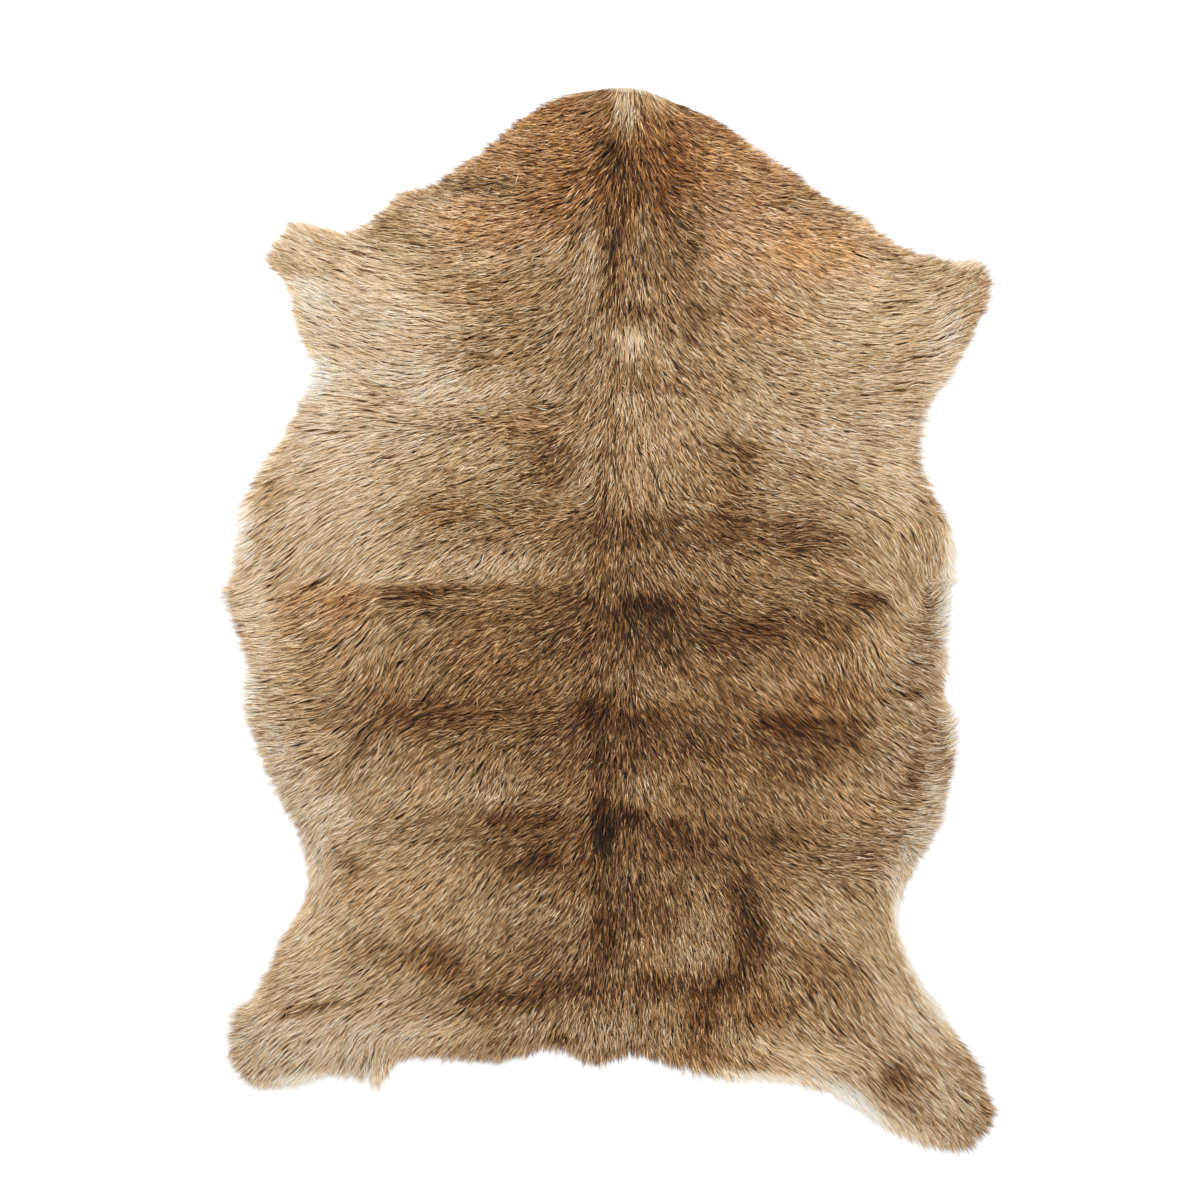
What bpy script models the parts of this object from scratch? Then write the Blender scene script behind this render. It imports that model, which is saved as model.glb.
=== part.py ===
"""Goatskin with its short brown coat, laid out flat with the hair up.

A goatskin is one piece, so the model is one closed solid. Its underside is the flat
flesh side. Its outline follows the neck, the four leg corners and the tail, and is
broken into short locks of hair that point the way the coat lies there. Its top is the
surface of the coat: deep over the back, thin at the rim, with the soft cross creases
left by folding and the lumps of a natural coat.

Frame: +Z up, +Y towards the neck, +X towards the right legs. The origin is on the
floor, under the middle of the skin. Every size and place below is in millimetres.
"""

import math

import bpy
import numpy as np
from mathutils import Vector, noise
from mathutils.geometry import delaunay_2d_cdt

NODE_NAME = "goatskin"
MM = 0.001
SEED = 11

# Coat and skin
COAT_DEPTH = 10.5
RIM_DEPTH = 4.0
TIP_DEPTH = 1.6
FADE_WIDTH = 48.0
SPINE_HEIGHT = 1.2
SPINE_WIDTH = 26.0

# Locks at the rim
LOCK_COUNT = 280
LOCK_BEHIND_RIM = 0.78
LOCK_LEAN = 0.6
LOCK_VARIATION = 0.45
ROOT_JITTER = 0.2
CURVE_STEPS = 12

# Lumps of the coat: size across and height
LUMPS = (
    # across, height
    (70.0, 1.3),
    (27.0, 0.8),
)

# Meshing: spacing of the points inside the outline and their scatter
TOP_PITCH = 13.0
TOP_SCATTER = 3.0
TOP_MARGIN = 6.0
BASE_PITCH = 45.0
BASE_SCATTER = 0.0
BASE_MARGIN = 14.0

# The rim, clockwise from the neck as seen from above.
# lock is how long the hair stands past the skin there, lie is where the hair points,
# in degrees turned left from +X.
RIM = (
    # place, x, y, lock, lie
    ("neck top", 12, 449, 3, -90),
    ("neck top right", 36, 443, 3, -60),
    ("neck right", 64, 430, 4, -20),
    ("neck right", 90, 419, 5, -12),
    ("neck right", 113, 402, 6, -10),
    ("neck right", 136, 385, 6, -10),
    ("neck right", 160, 371, 6, -8),
    ("shoulder right", 180, 354, 6, -8),
    ("shoulder right", 204, 341, 7, -6),
    ("shoulder right", 226, 324, 8, -3),
    ("shoulder right", 244, 311, 5, -4),
    ("foreleg right upper edge", 266, 305, 4, 5),
    ("foreleg right upper edge", 290, 299, 4, 15),
    ("foreleg right corner", 310, 302, 4, 38),
    ("foreleg right end", 314, 289, 4, 32),
    ("foreleg right tip", 317, 277, 5, 27),
    ("foreleg right lower edge", 310, 259, 5, 36),
    ("foreleg right lower edge", 302, 238, 5, 34),
    ("foreleg right lower edge", 289, 214, 5, 20),
    ("elbow right", 273, 190, 7, 4),
    ("flank right", 262, 168, 12, -2),
    ("flank right", 260, 144, 15, -8),
    ("flank right", 263, 118, 12, -18),
    ("flank right", 274, 97, 8, -40),
    ("belly right", 284, 76, 5, -64),
    ("belly right", 287, 52, 4, -84),
    ("belly right whorl", 285, 26, 4, 48),
    ("belly right whorl", 283, -2, 4, 24),
    ("belly right", 281, -30, 4, 28),
    ("belly right", 278, -58, 5, 35),
    ("belly right tuft", 283, -77, 6, 58),
    ("belly right tuft", 291, -93, 8, 50),
    ("groin right", 287, -116, 6, 40),
    ("groin right", 282, -144, 4, 30),
    ("groin right", 276, -170, 4, 6),
    ("groin right", 264, -195, 5, -6),
    ("groin right fold", 250, -216, 5, -50),
    ("thigh right", 241, -238, 5, -88),
    ("thigh right", 240, -258, 4, -78),
    ("thigh right", 249, -284, 4, -62),
    ("thigh right", 264, -311, 4, -57),
    ("thigh right", 283, -341, 4, -52),
    ("hind leg right", 301, -367, 4, -46),
    ("hind leg right", 314, -394, 4, -45),
    ("hind leg right tip", 322, -420, 5, -42),
    ("hind leg right end", 311, -434, 6, -48),
    ("hind leg right corner", 298, -447, 6, -58),
    ("hind leg right lower edge", 280, -446, 6, -60),
    ("hind leg right lower edge", 255, -438, 5, -54),
    ("hind leg right lower edge", 228, -427, 5, -46),
    ("buttock right", 202, -410, 5, -44),
    ("buttock right", 176, -395, 4, -32),
    ("rump right", 147, -388, 4, -38),
    ("rump right", 116, -387, 7, -54),
    ("rump right", 86, -384, 9, -60),
    ("rump right", 58, -378, 7, -72),
    ("tail right", 34, -371, 5, -84),
    ("tail notch", 18, -366, 5, -90),
    ("tail", -2, -373, 7, -92),
    ("tail tip", -19, -377, 8, -95),
    ("tail left", -36, -367, 6, -102),
    ("tail notch left", -52, -360, 5, -104),
    ("rump left", -70, -367, 7, -110),
    ("rump left", -98, -372, 6, -114),
    ("rump left", -128, -371, 5, -118),
    ("rump left", -158, -368, 4, -128),
    ("rump left", -183, -373, 4, -126),
    ("rump tuft", -194, -389, 10, -92),
    ("rump tuft", -211, -386, 8, -102),
    ("hind leg left lower edge", -234, -383, 6, -114),
    ("hind leg left lower edge", -260, -389, 5, -125),
    ("hind leg left corner", -297, -395, 6, -128),
    ("hind leg left end", -315, -384, 6, -142),
    ("hind leg left tip", -322, -362, 7, -152),
    ("hind leg left end", -319, -342, 6, -168),
    ("hind leg left corner", -314, -327, 6, -178),
    ("hind leg left upper edge", -299, -315, 5, -148),
    ("thigh left", -288, -295, 4, -140),
    ("thigh left", -277, -268, 4, -145),
    ("thigh left", -261, -243, 4, -130),
    ("thigh left", -255, -218, 4, -110),
    ("groin left", -260, -190, 4, -112),
    ("groin left", -276, -158, 4, -135),
    ("belly left", -292, -127, 5, -150),
    ("belly left", -301, -101, 6, -178),
    ("belly left", -309, -78, 9, 178),
    ("belly left", -311, -60, 9, 178),
    ("belly left", -306, -37, 6, 170),
    ("belly left", -315, -16, 8, 165),
    ("flank left", -320, 3, 9, 195),
    ("flank left point", -324, 20, 10, 204),
    ("flank left", -318, 42, 9, 214),
    ("flank left", -315, 66, 8, 216),
    ("flank left", -312, 93, 8, 217),
    ("flank left", -300, 114, 8, 208),
    ("flank left", -288, 136, 7, 206),
    ("elbow left", -275, 158, 9, 194),
    ("elbow left", -263, 182, 12, 184),
    ("elbow left", -252, 208, 8, 178),
    ("foreleg left lower edge", -258, 230, 4, 156),
    ("foreleg left lower edge", -267, 255, 4, 152),
    ("foreleg left lower edge", -272, 279, 4, 152),
    ("foreleg left tip", -291, 302, 6, 162),
    ("foreleg left end", -281, 321, 6, 164),
    ("foreleg left corner", -267, 332, 5, 154),
    ("foreleg left upper edge", -246, 330, 4, 158),
    ("shoulder left", -221, 324, 4, 174),
    ("shoulder left", -202, 336, 5, 184),
    ("shoulder left", -184, 354, 6, 190),
    ("shoulder left corner", -170, 361, 5, 186),
    ("neck left", -152, 364, 5, 180),
    ("neck left", -130, 381, 6, 188),
    ("neck left", -107, 396, 6, 187),
    ("neck left", -84, 416, 7, 191),
    ("neck left", -59, 433, 6, 191),
    ("neck top left", -30, 443, 4, 204),
)

# Creases left by folding, as soft ridges (height over zero) and troughs (under zero).
CREASES = (
    # place, x start, y start, x end, y end, width, height
    ("neck left trough", -150, 360, -92, 363, 9, -1.6),
    ("shoulder left ridge", -200, 318, -110, 302, 14, 1.0),
    ("shoulder trough", -130, 266, -55, 262, 13, -1.3),
    ("shoulder right trough", 45, 330, 75, 250, 16, -1.2),
    ("rib ridge left", -255, 176, -60, 166, 12, 1.4),
    ("rib trough left", -150, 150, -40, 140, 14, -1.4),
    ("rib trough right", 78, 140, 132, 118, 16, -1.5),
    ("rib ridge right", 90, 158, 250, 150, 14, 1.0),
    ("upper trough left", -160, 88, -85, 84, 12, -1.4),
    ("upper trough right", 35, 84, 185, 72, 14, -1.6),
    ("middle ridge left", -185, 42, -45, 42, 13, 2.0),
    ("middle trough left", -190, 20, -45, 16, 12, -2.4),
    ("middle trough belly", -305, 20, -262, 40, 8, -1.6),
    ("middle ridge right", 70, 30, 205, 32, 14, 1.6),
    ("middle trough spine", 2, 10, 60, 6, 13, -2.2),
    ("middle trough right", 60, -4, 190, 2, 13, -2.4),
    ("middle trough right belly", 190, 18, 236, 12, 10, -2.4),
    ("lower ridge left", -200, -64, -50, -62, 14, 1.4),
    ("lower trough left", -185, -86, -40, -88, 13, -2.2),
    ("lower ridge right", 20, -66, 215, -66, 14, 1.2),
    ("lower trough right", 20, -88, 80, -92, 12, -1.6),
    ("lower trough right flank", 118, -86, 215, -88, 13, -2.2),
    ("loin ridge", -110, -148, 30, -148, 13, 1.4),
    ("loin trough", -105, -178, 28, -170, 14, -2.2),
    ("loin trough right", 28, -172, 98, -196, 13, -1.8),
    ("groin trough right", 150, -200, 232, -200, 9, -1.3),
    ("thigh trough upper", 98, -210, 116, -262, 13, -2.2),
    ("thigh trough lower", 116, -262, 76, -352, 14, -2.0),
    ("rump trough left", -170, -282, -130, -300, 15, -1.6),
    ("rump trough", -130, -312, -60, -308, 13, -1.4),
    ("hind leg left trough", -280, -332, -220, -326, 8, -1.4),
    ("hind leg right trough", 232, -376, 262, -400, 12, -1.4),
    ("belly left pleat", -214, -98, -226, -128, 8, -1.6),
)

# The spine, from the neck down to the tail
SPINE = (
    # x, y
    (14, 440),
    (12, 300),
    (2, 150),
    (-6, -20),
    (-10, -200),
    (-12, -370),
)


def dense_rim():
    """A closed smooth curve through the rim's rows: x, y, lock and lie vector."""
    corner = np.array([row[1:3] for row in RIM], float)
    lie = np.radians([row[4] for row in RIM])
    carried = np.column_stack(([row[3] for row in RIM], np.cos(lie), np.sin(lie)))
    after = np.roll(corner, -1, axis=0)
    before = np.roll(corner, 1, axis=0)
    span = np.linalg.norm(after - corner, axis=1)[:, None]
    slope = (after - before) / (span + np.roll(span, 1, axis=0))
    slope_after = np.roll(slope, -1, axis=0)
    carried_after = np.roll(carried, -1, axis=0)
    rows = []
    for t in np.linspace(0.0, 1.0, CURVE_STEPS, endpoint=False):
        ease = t * t * (3.0 - 2.0 * t)
        place = corner * (1.0 - ease) + after * ease
        place = place + span * (t * (1.0 - t) ** 2 * slope - t * t * (1.0 - t) * slope_after)
        rows.append(np.column_stack((place, carried * (1.0 - t) + carried_after * t)))
    return np.stack(rows, axis=1).reshape(-1, 5)


def rim_reader(curve):
    """Returns the rim's length, and a function giving place, outward side, lock and lie at a distance."""
    closed = np.vstack((curve, curve[:1]))
    steps = np.linalg.norm(np.diff(closed[:, :2], axis=0), axis=1)
    travelled = np.concatenate(([0.0], np.cumsum(steps)))
    length = travelled[-1]

    def read(distance):
        wrapped = np.mod(distance, length)
        return np.array([np.interp(wrapped, travelled, closed[:, column]) for column in range(5)])

    def at(distance):
        here = read(distance)
        along = read(distance + 4.0)[:2] - read(distance - 4.0)[:2]
        along /= np.linalg.norm(along)
        outward = np.array((-along[1], along[0]))
        return here[:2], outward, here[2], here[3:5]

    return length, at


def lock_outline(rng):
    """The outline with its locks, as points and whether each is a lock's tip."""
    length, at = rim_reader(dense_rim())
    pitch = length / LOCK_COUNT
    points = []
    tips = []
    for lock_index in range(LOCK_COUNT):
        shift = rng.uniform(-ROOT_JITTER, ROOT_JITTER, 2)
        place, outward, lock, _ = at((lock_index + shift[0]) * pitch)
        points.append(place - outward * lock * LOCK_BEHIND_RIM)
        tips.append(False)
        place, outward, lock, lie = at((lock_index + 0.5 + shift[1]) * pitch)
        reach = lock * (1.0 - LOCK_BEHIND_RIM) * rng.uniform(1.0 - LOCK_VARIATION, 1.0 + LOCK_VARIATION)
        points.append(place + (outward + lie * LOCK_LEAN) * reach)
        tips.append(True)
    points = np.array(points)
    middle = (points.max(axis=0) + points.min(axis=0)) / 2.0
    return points - middle, np.array(tips)


def rim_distance(places, outline):
    """Distance from each place to the nearest side of the outline."""
    nearest = np.full(len(places), np.inf)
    for start, end in zip(outline, np.roll(outline, -1, axis=0)):
        nearest = np.minimum(nearest, segment_distance(places, start, end))
    return nearest


def segment_distance(places, start, end):
    """Distance from each place to a straight stretch."""
    run = end - start
    share = np.clip((places - start) @ run / (run @ run), 0.0, 1.0)
    return np.linalg.norm(places - start - share[:, None] * run, axis=1)


def is_inside(places, outline):
    """Whether each place is inside the outline, by counting the sides crossed to its right."""
    inside = np.zeros(len(places), bool)
    for start, end in zip(outline, np.roll(outline, -1, axis=0)):
        spans = (start[1] > places[:, 1]) != (end[1] > places[:, 1])
        rise = end[1] - start[1] if end[1] != start[1] else 1.0
        crossing = start[0] + (places[:, 1] - start[1]) * (end[0] - start[0]) / rise
        inside ^= spans & (places[:, 0] < crossing)
    return inside


def scattered_places(outline, pitch, scatter, margin, rng):
    """Staggered rows of places inside the outline, each moved a little off its row."""
    low = outline.min(axis=0)
    high = outline.max(axis=0)
    rows = []
    for row_index, y in enumerate(np.arange(low[1], high[1], pitch * math.sqrt(3.0) / 2.0)):
        x = np.arange(low[0] + (row_index % 2) * pitch / 2.0, high[0], pitch)
        rows.append(np.column_stack((x, np.full(len(x), y))))
    places = np.vstack(rows)
    places = places + rng.uniform(-scatter, scatter, places.shape)
    places = places[is_inside(places, outline)]
    return places[rim_distance(places, outline) > margin]


def crease_height(places):
    """Height that the creases and the spine add at each place."""
    height = np.zeros(len(places))
    for _, x_start, y_start, x_end, y_end, width, rise in CREASES:
        start = np.array((x_start, y_start), float)
        end = np.array((x_end, y_end), float)
        height += rise * np.exp(-((segment_distance(places, start, end) / width) ** 2))
    spine_x = np.interp(-places[:, 1], [-y for _, y in SPINE], [x for x, _ in SPINE])
    height += SPINE_HEIGHT * np.exp(-(((places[:, 0] - spine_x) / SPINE_WIDTH) ** 2))
    return height


def lump_height(places):
    """Height of the coat's lumps at each place."""
    height = np.zeros(len(places))
    for layer, (across, rise) in enumerate(LUMPS):
        height += [rise * noise.noise(Vector((x / across, y / across, 7.3 * layer))) for x, y in places]
    return height


def coat_height(places, outline):
    """Height of the coat's surface over the floor at each place inside the outline."""
    share = np.clip(rim_distance(places, outline) / FADE_WIDTH, 0.0, 1.0)
    fade = 1.0 - (1.0 - share) ** 2
    relief = crease_height(places) + lump_height(places)
    return RIM_DEPTH + fade * (COAT_DEPTH - RIM_DEPTH + relief)


def fill(outline, inner):
    """Triangles that fill the outline through the inner places, counter-clockwise from above."""
    count = len(outline)
    places = [Vector(place) for place in np.vstack((outline, inner))]
    sides = [(index, (index + 1) % count) for index in range(count)]
    made = delaunay_2d_cdt(places, sides, [], 1, 1e-6)
    triangles = []
    for triangle in made[2]:
        a, b, c = (made[0][index] for index in triangle)
        turn = (b - a).cross(c - a)
        triangles.append(tuple(triangle) if turn > 0.0 else tuple(reversed(triangle)))
    return triangles


def goatskin_mesh():
    """The closed solid: coat surface, flat underside and the low wall between them."""
    rng = np.random.default_rng(SEED)
    outline, tips = lock_outline(rng)
    top_inner = scattered_places(outline, TOP_PITCH, TOP_SCATTER, TOP_MARGIN, rng)
    base_inner = scattered_places(outline, BASE_PITCH, BASE_SCATTER, BASE_MARGIN, rng)
    rim_height = np.where(tips, TIP_DEPTH, RIM_DEPTH)
    top_height = np.concatenate((rim_height, coat_height(top_inner, outline)))
    top = np.column_stack((np.vstack((outline, top_inner)), top_height))
    base = np.column_stack((np.vstack((outline, base_inner)), np.zeros(len(outline) + len(base_inner))))

    # The rim runs clockwise, so a wall face goes base, next base, next top, top to face outwards
    count = len(outline)
    base_start = len(top)
    top_faces = fill(outline, top_inner)
    base_faces = [
        tuple(base_start + index for index in reversed(triangle)) for triangle in fill(outline, base_inner)
    ]
    wall_faces = []
    for index in range(count):
        following = (index + 1) % count
        wall_faces.append((following, base_start + following, base_start + index, index))

    mesh = bpy.data.meshes.new(NODE_NAME)
    mesh.from_pydata((np.vstack((top, base)) * MM).tolist(), [], top_faces + wall_faces + base_faces)
    mesh.materials.append(principled("brown_hair", (0.33, 0.22, 0.12), 0.75))
    mesh.materials.append(principled("tanned_leather", (0.62, 0.53, 0.40), 0.85))
    for face in mesh.polygons[len(top_faces) + len(wall_faces):]:
        face.material_index = 1
    mesh.shade_smooth()
    mesh.set_sharp_from_angle(angle=math.radians(50.0))
    return mesh


def principled(name, colour, roughness):
    """A plain material of one colour, not metallic."""
    material = bpy.data.materials.new(name)
    material.use_nodes = True
    shader = material.node_tree.nodes["Principled BSDF"]
    shader.inputs["Base Color"].default_value = (*colour, 1.0)
    shader.inputs["Roughness"].default_value = roughness
    shader.inputs["Metallic"].default_value = 0.0
    return material


def main():
    for old in list(bpy.data.objects):
        bpy.data.objects.remove(old, do_unlink=True)
    goatskin = bpy.data.objects.new(NODE_NAME, goatskin_mesh())
    bpy.context.scene.collection.objects.link(goatskin)


main()
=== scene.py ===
"""Looks of the goatskin: the skin, its underfur and a combed coat of hair.

The CAD solid gives the outline and the surface of the coat. Hair is rooted just inside
the rim of the skin, rises through the coat, and lies down along the lie that the comb
table gives. Neighbouring hairs gather into small pointed locks. Each hair carries its
tone and its warmth in its UV, which the hair material turns into colour.

Tables and working lengths are in millimetres. The scene is in metres.
"""

import math

import bpy
import numpy as np
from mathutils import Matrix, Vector, noise
from mathutils.bvhtree import BVHTree
from mathutils.geometry import delaunay_2d_cdt


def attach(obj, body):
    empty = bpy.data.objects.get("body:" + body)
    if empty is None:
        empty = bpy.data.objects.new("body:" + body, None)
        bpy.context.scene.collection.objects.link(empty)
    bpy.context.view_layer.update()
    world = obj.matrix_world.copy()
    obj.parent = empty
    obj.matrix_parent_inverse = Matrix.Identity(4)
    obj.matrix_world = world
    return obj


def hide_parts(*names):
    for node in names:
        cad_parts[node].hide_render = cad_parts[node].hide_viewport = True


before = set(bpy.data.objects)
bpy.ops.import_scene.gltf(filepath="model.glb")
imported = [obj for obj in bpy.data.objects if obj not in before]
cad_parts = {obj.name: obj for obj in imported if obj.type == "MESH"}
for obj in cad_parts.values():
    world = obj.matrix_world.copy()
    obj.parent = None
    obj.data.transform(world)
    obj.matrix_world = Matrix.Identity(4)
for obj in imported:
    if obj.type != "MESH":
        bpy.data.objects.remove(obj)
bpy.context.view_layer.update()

MM = 0.001
SEED = 29
NODE = "goatskin"
UV_MAP = "OFBake"
TINY = 1e-9
FAR = 1e6

# The photographed frame: its width on the floor, and its middle in the part's frame
FRAME_WIDTH = 1008.0
FRAME_MIDDLE = (-8.4, 16.6)
# Where the zero of the comb, patch, fold and length tables lies in the part's frame
TABLE_ZERO = (2.5, 1.5)
LENS = 85.0
SENSOR = 36.0

# Floor and lights, in metres and watts
FLOOR_HALF = 4.0
FLOOR_LEVEL = -0.0004
FLOOR_SHADE = 0.92
FLOOR_ROUGHNESS = 0.9
SURROUND = 0.55
LIGHTS = (
    # name, place, size, power
    ("key", (-0.55, 1.25, 1.9), 1.1, 42.0),
    ("fill", (0.9, -0.8, 2.2), 1.8, 14.0),
)

# The CAD rim: what tells a face of the underside, the digits its corners are matched to,
# and the rounds of smoothing
UNDERSIDE_TURN = -0.99
UNDERSIDE_LEVEL = 1e-5
MATCH_DIGITS = 6
RIM_SMOOTHING = 3

# Skin: a sheet, whose edge is pulled inwards in steps to where the hair starts
SKIN_THICKNESS = 1.6
SKIN_PITCH = 26.0
SKIN_MARGIN = 0.3
SKIN_SMOOTHING = 12
PULLS = 12
PULL_SHARE = 0.4
PULL_LIMIT = 3.0
PULL_SMOOTHING = 2
ROW_SHARE = 0.866
SHARP_ANGLE = 60.0
FILL_INSIDE = 1
FILL_GAP = 1e-6

# Underfur: a low pad of wool on the skin, under the surface of the coat
UNDERFUR_DEPTH = 4.6
UNDERFUR_LEAST = 0.5
UNDERFUR_RIM = 0.3
UNDERFUR_SLOPE = 25.0
UNDERFUR_ROUNDNESS = 0.6
WOOL_PITCH = 7.2
WOOL_MARGIN = 0.5
WOOL_INSET = 3.5
WOOL_SMOOTHING = 4

# Hair: its number and size, and how deep under the coat's surface its parts lie
HAIR_COUNT = 310000
ROOT_PITCH = 1.05
HAIR_LENGTH = 12.5
STRAND_LENGTHS = (0.75, 1.12)
HAIR_WIDTH = 0.70
STRAND_WIDTHS = (0.7, 1.25)
ROOT_WIDTH = 0.7
HAIR_ROLL = 40.0
HAIR_ROUGHNESS = 0.55
HAIR_SPECULAR = 0.2
ROOT_DEPTH = 5.2
MID_SHARE = 0.42
MID_DEPTH = 1.4
MID_SPREAD = 0.5
MID_RISE = 0.6
TIP_DEPTH = 0.9
TIP_SPREAD = 0.7
TIP_LEAST = 0.5
TIP_LEAST_SPREAD = 1.4
# A hair's corners are two at its root, two at its middle and one at its tip: these are
# the corners of its quad and its triangle, and where each face starts among them
HAIR_CORNERS = 5
HAIR_LOOPS = (0, 1, 2, 3, 3, 2, 4)
HAIR_STARTS = (0, 4)

# How far hairs stray from the lie, in degrees, and how much less so where hair is long
FRIZZ_SHARE = 0.10
FRIZZ = 20.0
STRAY = 6.0
BEND = 3.5
CALM_FROM = 0.9
CALMING = 1.5

# The rim: how far inside it hair is rooted, and how the hair near it differs
RIM_INSET = 0.8
RIM_REACH = 6.6
RIM_FADE = 11.0
RIM_CROWDING = 0.3
RIM_SPLAY = 0.3
RIM_SPLAY_DEPTH = 6.0
RIM_SHORTENING = 0.25
RIM_WIDTH = 0.6
RIM_LIGHT = 0.03
RIM_WARM = -0.5
RIM_SHADE_LOSS = 0.8

# Locks, the small groups that hair gathers into: their spacing and their own character
LOCK_PITCH = 3.2
LOCK_PLACES = (0.15, 0.85)
LOCK_THINNING = -1.2
LOCK_SEARCH = 2
LOCK_STRETCH = 3.8
LOCK_TURN = 8.0
LOCK_LIFT = 0.5
LOCK_LIGHT = 0.026
LOCK_LENGTHS = (0.85, 1.12)
LOCK_GATHERS = (0.5, 1.0)
LOCK_TRAITS = ("turn", "lift", "light", "length", "gather")
LOCK_HALF = 0.9
LOCK_EDGE_LIMIT = 1.2
LOCK_CROWN = 2.4
GATHER = 0.75
MID_GATHER = 0.3

# Tone: what is done to the painted one, how strands vary, and the painted shade at the edges of locks with
# painted light along their middles; strands and locks vary less where the tone is pale
TONE_CONTRAST = 1.50
TONE_SHIFT = -0.024
TONE_LIMITS = (0.03, 0.97)
STRAND_LIGHT = 0.12
STRAND_GOLD = 0.9
LOCK_EDGE_SHADE = 0.44
PALE_LOCK_SHADE = 0.30
LOCK_SHADE_MIDDLE = 0.25
PALE_FROM = 0.5
PALE_SPAN = 0.2
PALE_CALM = 0.3

# Smooth noise in tone, warmth, lie and rim length
LIGHT_NOISE = (
    # strength, size of its lumps, layer
    (0.022, 19.0, 1.7),
    (0.010, 8.0, 4.1),
)
WARM_NOISE = ((0.25, 34.0, 9.2),)
SWIRL_NOISE = ((7.0, 30.0, 12.3), (5.0, 11.0, 15.9))
TUFT_NOISE = ((0.45, 11.0, 21.4),)

# Working grid, which is read up to just short of its last line, and how softly the
# tables spread over it
GRID_STEP = 3.0
GRID_HALF = (348.0, 471.0)
GRID_LAST = 1.001
COMB_SOFTNESS = 13.0
COMB_POWER = 2.5
PATCH_HARDNESS = 1.3

COAT_PIECES = ("coat_rump", "coat_loin", "coat_saddle", "coat_shoulders", "coat_neck")

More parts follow.
